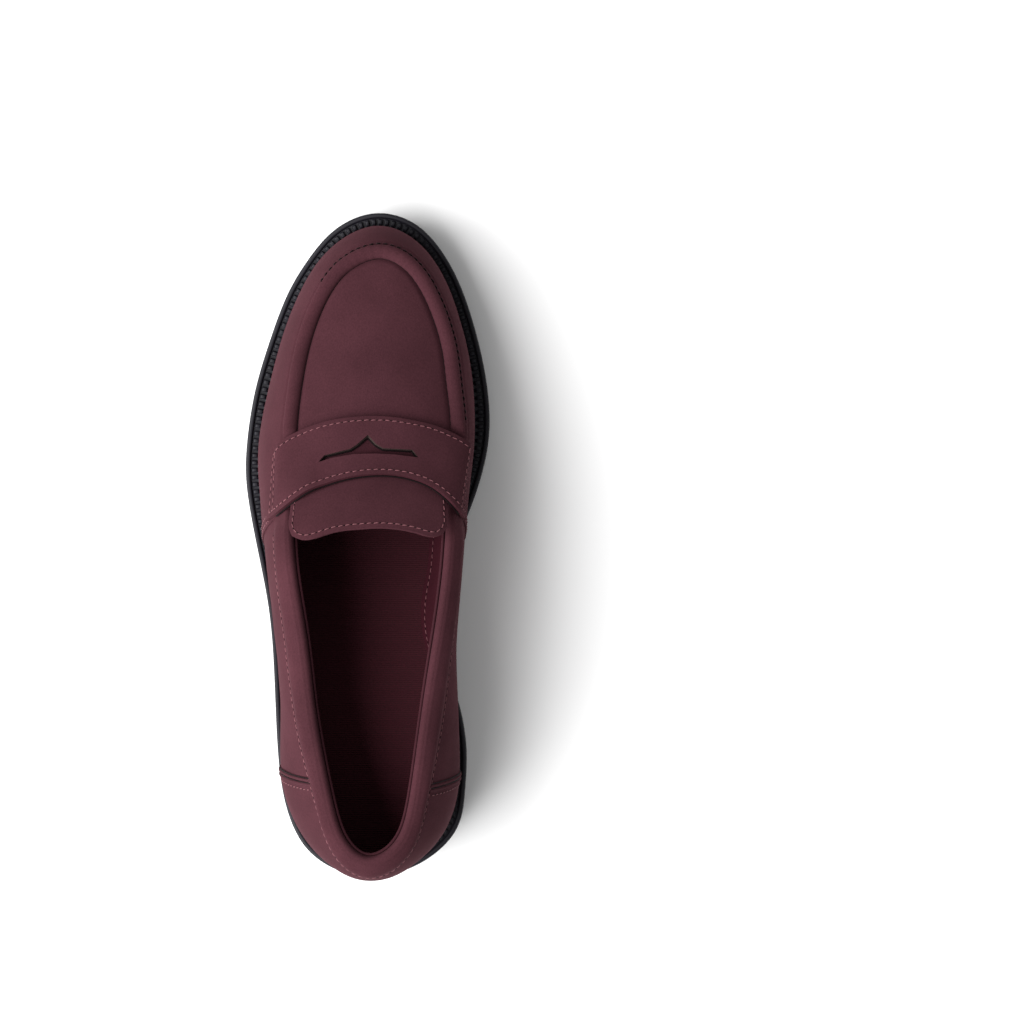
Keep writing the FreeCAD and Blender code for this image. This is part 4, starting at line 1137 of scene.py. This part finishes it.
# Section of the welt: distance in from the sole edge, height, and share of the tooth height.
WELT_SECTION = [
    (0.9, -3.35, 0.0), (0.35, -3.3, 0.0), (0.12, -3.0, 0.0), (0.05, -2.2, 0.0),
    (0.0, -1.4, 0.0), (0.02, -0.7, 0.0), (0.14, -0.25, 0.0), (0.42, 0.06, 0.0),
    (0.80, 0.20, 0.0), (1.20, 0.24, 0.0), (1.60, 0.20, 0.0), (1.85, 0.08, 0.0),
    (2.00, -0.35, 0.0), (2.10, -0.85, 0.0), (2.30, -0.95, 0.0), (2.48, -0.90, 0.0),
    (2.56, -0.90, 0.55), (2.72, -0.90, 0.85), (3.0, -0.90, 0.98), (3.6, -0.90, 1.0),
    (4.3, -0.90, 0.98), (4.75, -0.90, 0.85), (4.95, -0.90, 0.4), (5.1, -0.80, 0.0),
    (7.0, -0.45, 0.0), (9.5, -0.10, 0.0), (13.8, -0.10, 0.0), (13.9, -1.5, 0.0),
    (13.9, -3.2, 0.0), (13.4, -3.35, 0.0),
]


def sole_outline(count):
    """Even points round the sole edge, outward directions, and share of the way round."""
    dense = periodic(SOLE_EDGE)(np.linspace(0, len(SOLE_EDGE), 8001))
    walk = walked(dense)
    at = np.linspace(0, walk[-1], count, endpoint=False)
    ring = along_line(at, walk, dense)
    along = unit(np.roll(ring, -1, 0) - np.roll(ring, 1, 0))
    return ring, np.stack([-along[:, 1], along[:, 0]], -1), at, walk[-1]


def inset_ring(ring, out, distance):
    """Ring moved inwards, without loops where the edge turns inward sharply."""
    moved = ring - out * distance
    for _ in range(3):
        moved = 0.25 * np.roll(moved, 1, 0) + 0.5 * moved + 0.25 * np.roll(moved, -1, 0)
    return moved


def build_welt():
    """Rubber welt: smooth rim, fine groove, and a strip of short radial teeth."""
    ring, out, at, length = sole_outline(2800)
    turns = round(length / TOOTH_PITCH) * 2 * math.pi
    tooth = ease((np.cos(at / length * turns) + 0.25) / 0.5)
    x, y = ring.T
    inner_waist = (x > 0) * bump(y + 22.0, 62.0)
    outer_waist = (x < 0) * bump(y + 42.0, 40.0)
    toothed = 1 - np.clip(ease(2.2 * inner_waist) + ease(2.0 * outer_waist), 0, 1)
    height = toothed * tooth * TOOTH_HIGH + (1 - toothed) * BLANK_HIGH
    rows = []
    for d, z, share in WELT_SECTION:
        plan = inset_ring(ring, out, d) if d > 3 else ring - out * d
        rows.append(raised(plan, feather_height(plan[:, 1]) - 0.05 + z + share * height))
    count, cols = len(ring), len(rows)
    faces = grid_faces(count, cols, wrap=True)
    for i in range(count):
        k = (i + 1) % count
        faces.append((i * cols, i * cols + cols - 1, k * cols + cols - 1, k * cols))
    welt = make_object("welt_strip", np.stack(rows, 1), faces, MAT_RUBBER)
    finish_piece(welt, "welt", slot="welt_rubber")


def bed_outline():
    """Where the bed meets the lining: ring of plan points at the height of the sock."""
    t = np.linspace(0, RIB_COUNT, 3000, endpoint=False)
    low, high = np.zeros_like(t), np.full_like(t, 0.6)
    goal = bed_height(FOOT_XY(t)[:, 1]) + 0.6
    for _ in range(18):
        middle = (low + high) / 2
        below = wall_surface(t, middle)[:, 2] < goal
        low, high = np.where(below, middle, low), np.where(below, high, middle)
    return wall_point(t, low, -LINING_DEPTH - LINING_GAP)[:, :2]


def bed_grid(rows, columns):
    """Plan grid of the bed, closer at its edges, with each point's distance from the lining."""
    edge = bed_outline()
    ys = np.linspace(edge[:, 1].min() + 0.5, edge[:, 1].max() - 0.5, rows)
    near = np.abs(edge[None, :, 1] - ys[:, None]) < 0.8
    left = np.where(near, edge[None, :, 0], np.inf).min(1)[:, None]
    right = np.where(near, edge[None, :, 0], -np.inf).max(1)[:, None]
    u = (1 - np.cos(np.linspace(0, math.pi, columns)))[None, :] / 2
    x = left * (1 - u) + right * u
    plan = np.stack([x, np.broadcast_to(ys[:, None], x.shape)], -1)
    return plan, np.minimum(x - left, right - x)


def bed_surface(plan):
    """Height of the bed's top, dished under the heel."""
    x, y = plan[..., 0], plan[..., 1]
    return bed_height(y) - 0.7 * bump(x - 3.0, 26.0) * bump(y + 92, 34.0)


def build_bed():
    """Sock liner with fine crosswise ribs, curling up a little at its edge, on a foam bed."""
    plan, side = bed_grid(1840, 26)
    base = bed_surface(plan) + 0.12 * waves(raised(plan, 0.0), 34.0, 95)
    curl = 1 - ease(side / 3.5)
    rib = SOCK_RIB_HIGH * np.cos(plan[..., 1] * 2 * math.pi / SOCK_RIB_PITCH)
    sock = slab_object("sock", raised(plan, base + curl + rib),
                       raised(plan, base - SOCK_THICK + 0.8 * curl), MAT_SOCK, 0)
    finish_piece(sock, "sock_liner", slot="sock_fabric")

    plan, side = bed_grid(260, 36)
    below_sock = SOCK_THICK + BED_GLUE
    top = bed_surface(plan) - below_sock - 0.5 * (1 - ease(side / 2.5))
    floor = bed_height(plan[..., 1]) - below_sock - BED_THICK
    bed = slab_object("foam_bed", raised(plan, top), raised(plan, floor), MAT_FOAM, 0.3)
    finish_piece(bed, "footbed", slot="foam")


def build_facing():
    """Leather strip round the inside of the mouth, sewn to the lining along its lower edge."""
    t, s = wall_net(fixed(-5.6), fixed(5.6), 0.70, fixed(0.985), 320, 14)
    depth = -LINING_DEPTH - LINING_GAP + 0.5 * ripple(t, s, 97)
    strip = slab_object("mouth_facing", wall_point(t, s, depth), wall_point(t, s, depth - 0.55),
                        MAT_BINDING, 0.2)
    finish_piece(strip, slot="binding_leather")
    points, normals = wall_line(np.linspace(-5.5, 5.5, 1300), 0.725, -LINING_DEPTH - 0.70)
    sew("facing_stitches", [(points, -normals)])


# Lower border of the arch pad, from the front: y and x.
ARCH_BORDER = np.array([(14.0, 28.6), (8.0, 26.4), (2.4, 25.4), (-10.7, 24.4), (-18.0, 22.9),
                        (-26.0, 22.0), (-35.9, 22.7), (-43.0, 24.5), (-52.0, 27.4), (-57.0, 29.4)])


def build_arch_pad():
    """Padded leather on the inner side under the arch, sewn down along its lower border."""
    y = np.linspace(ARCH_BORDER[0, 0], ARCH_BORDER[-1, 0], 160)
    x = spline(-ARCH_BORDER[:, 0], ARCH_BORDER[:, 1:])(-y)[:, 0]
    ring = np.linspace(17.8, 21.4, 900)
    t = np.interp(-y, -FOOT_XY(ring)[:, 1], ring)
    start = wall_point(t, 0.86, -LINING_DEPTH - 0.35)
    bend = wall_point(t, 0.40, -LINING_DEPTH - 0.9)
    border = np.column_stack([x, y, bed_height(y) + 0.7])
    v = np.linspace(0, 1, 22)[None, :, None]
    top = ((1 - v) ** 2 * start[:, None] + 2 * v * (1 - v) * bend[:, None]
           + v ** 2 * border[:, None])
    top[..., 2] += 0.12 * waves(top, 12.0, 99)
    under = top + np.array([0.5, 0.0, -0.5])
    finish_piece(slab_object("arch_pad", top, under, MAT_PAD, 0.2), slot="binding_leather")
    line = top[3:-3, -3] + np.array([-0.05, 0.0, 0.05])
    normal = np.broadcast_to(np.array([-0.6, 0.0, 0.8]), line.shape)
    sew("arch_stitches", [(line, normal)])


# ---- CAD pieces that stay shown

def soften(obj, width, material):
    """Rounds a hard moulded or cut part's edges and gives it its material."""
    obj.data.materials.clear()
    obj.data.materials.append(material)
    weld = obj.modifiers.new("weld", "WELD")
    weld.merge_threshold = 0.00001
    if width:
        add_bevel(obj, width, 40)
    weighted = obj.modifiers.new("shade", "WEIGHTED_NORMAL")
    weighted.keep_sharp = False
    for polygon in obj.data.polygons:
        polygon.use_smooth = True


def dress_frame(nodes):
    cork = moulded("cork", (0.30, 0.19, 0.10), 0.9)
    steel = moulded("steel", (0.42, 0.42, 0.43), 0.35)
    board = moulded("fibre_board", (0.34, 0.27, 0.20), 0.9)
    looks = {
        "outsole": (0.5, MAT_TREAD), "midsole": (0.5, MAT_RUBBER),
        "heel_block": (0.4, MAT_RUBBER), "heel_top_piece": (0.6, MAT_TREAD),
        "bottom_filler": (0, cork), "shank": (0, steel), "insole_board": (0, board),
        # Counter and toe puff take the darker nubuck as painted shade where slivers show.
        "heel_nails": (0, steel), "heel_counter": (0, MAT_PAINTED_SHADE_NUBUCK), "toe_puff": (0, MAT_PAINTED_SHADE_NUBUCK),
    }
    for name, (width, material) in looks.items():
        soften(nodes[name], width, material)


# ---- studio

FLOOR_HALF, FLOOR_HEIGHT = 3000.0, -0.6
WORLD_STRENGTH = 0.42
KEY_PLACE, KEY_AIM, KEY_SIZE, KEY_POWER = (-1.16, -0.42, 1.20), (0.0, 0.0, 0.03), 1.9, 88.0
CAMERA_PLACE, CAMERA_LENS = (0.0588, 0.0127, 1.3), 111.1


def add_object(name, data, place):
    obj = bpy.data.objects.new(name, data)
    bpy.context.scene.collection.objects.link(obj)
    obj.location = place
    return obj


def build_floor():
    look = Look("floor")
    look.set(Base_Color=look.ramp(look.noise(1.2, 2.0, 0.5), (0.0, (0.90, 0.90, 0.90)),
                                  (1.0, (0.93, 0.93, 0.93))),
             Roughness=1.0, Specular_IOR_Level=0.0)
    corners = [(x * FLOOR_HALF, y * FLOOR_HALF, FLOOR_HEIGHT)
               for x, y in ((-1, -1), (1, -1), (1, 1), (-1, 1))]
    make_object("floor", corners, [(0, 1, 2, 3)], look.material)


def build_studio():
    """Even white surroundings, one large soft lamp, and a camera above looking straight down."""
    scene = bpy.context.scene
    scene.view_settings.view_transform = "Standard"
    scene.world = bpy.data.worlds.new("studio")
    scene.world.use_nodes = True
    background = scene.world.node_tree.nodes["Background"]
    background.inputs["Color"].default_value = (1.0, 1.0, 1.0, 1.0)
    background.inputs["Strength"].default_value = WORLD_STRENGTH

    light = bpy.data.lights.new("key", "AREA")
    light.size = KEY_SIZE
    light.energy = KEY_POWER
    lamp = add_object("key", light, KEY_PLACE)
    direction = Vector(KEY_AIM) - Vector(KEY_PLACE)
    lamp.rotation_euler = direction.to_track_quat("-Z", "Y").to_euler()

    camera = bpy.data.cameras.new("camera")
    camera.lens = CAMERA_LENS
    camera.sensor_width = 36.0
    camera.clip_start = 0.01
    scene.camera = add_object("camera", camera, CAMERA_PLACE)


for build in (build_vamp, build_quarters, build_heel_panel, build_heel_seams, build_collar,
              build_linings, build_bead, build_plug, build_strap, build_slit_edge,
              build_strap_gaps, build_tongue, build_stitching, build_welt, build_bed,
              build_facing, build_arch_pad):
    build()
dress_frame(frame["nodes"])
build_floor()
build_studio()

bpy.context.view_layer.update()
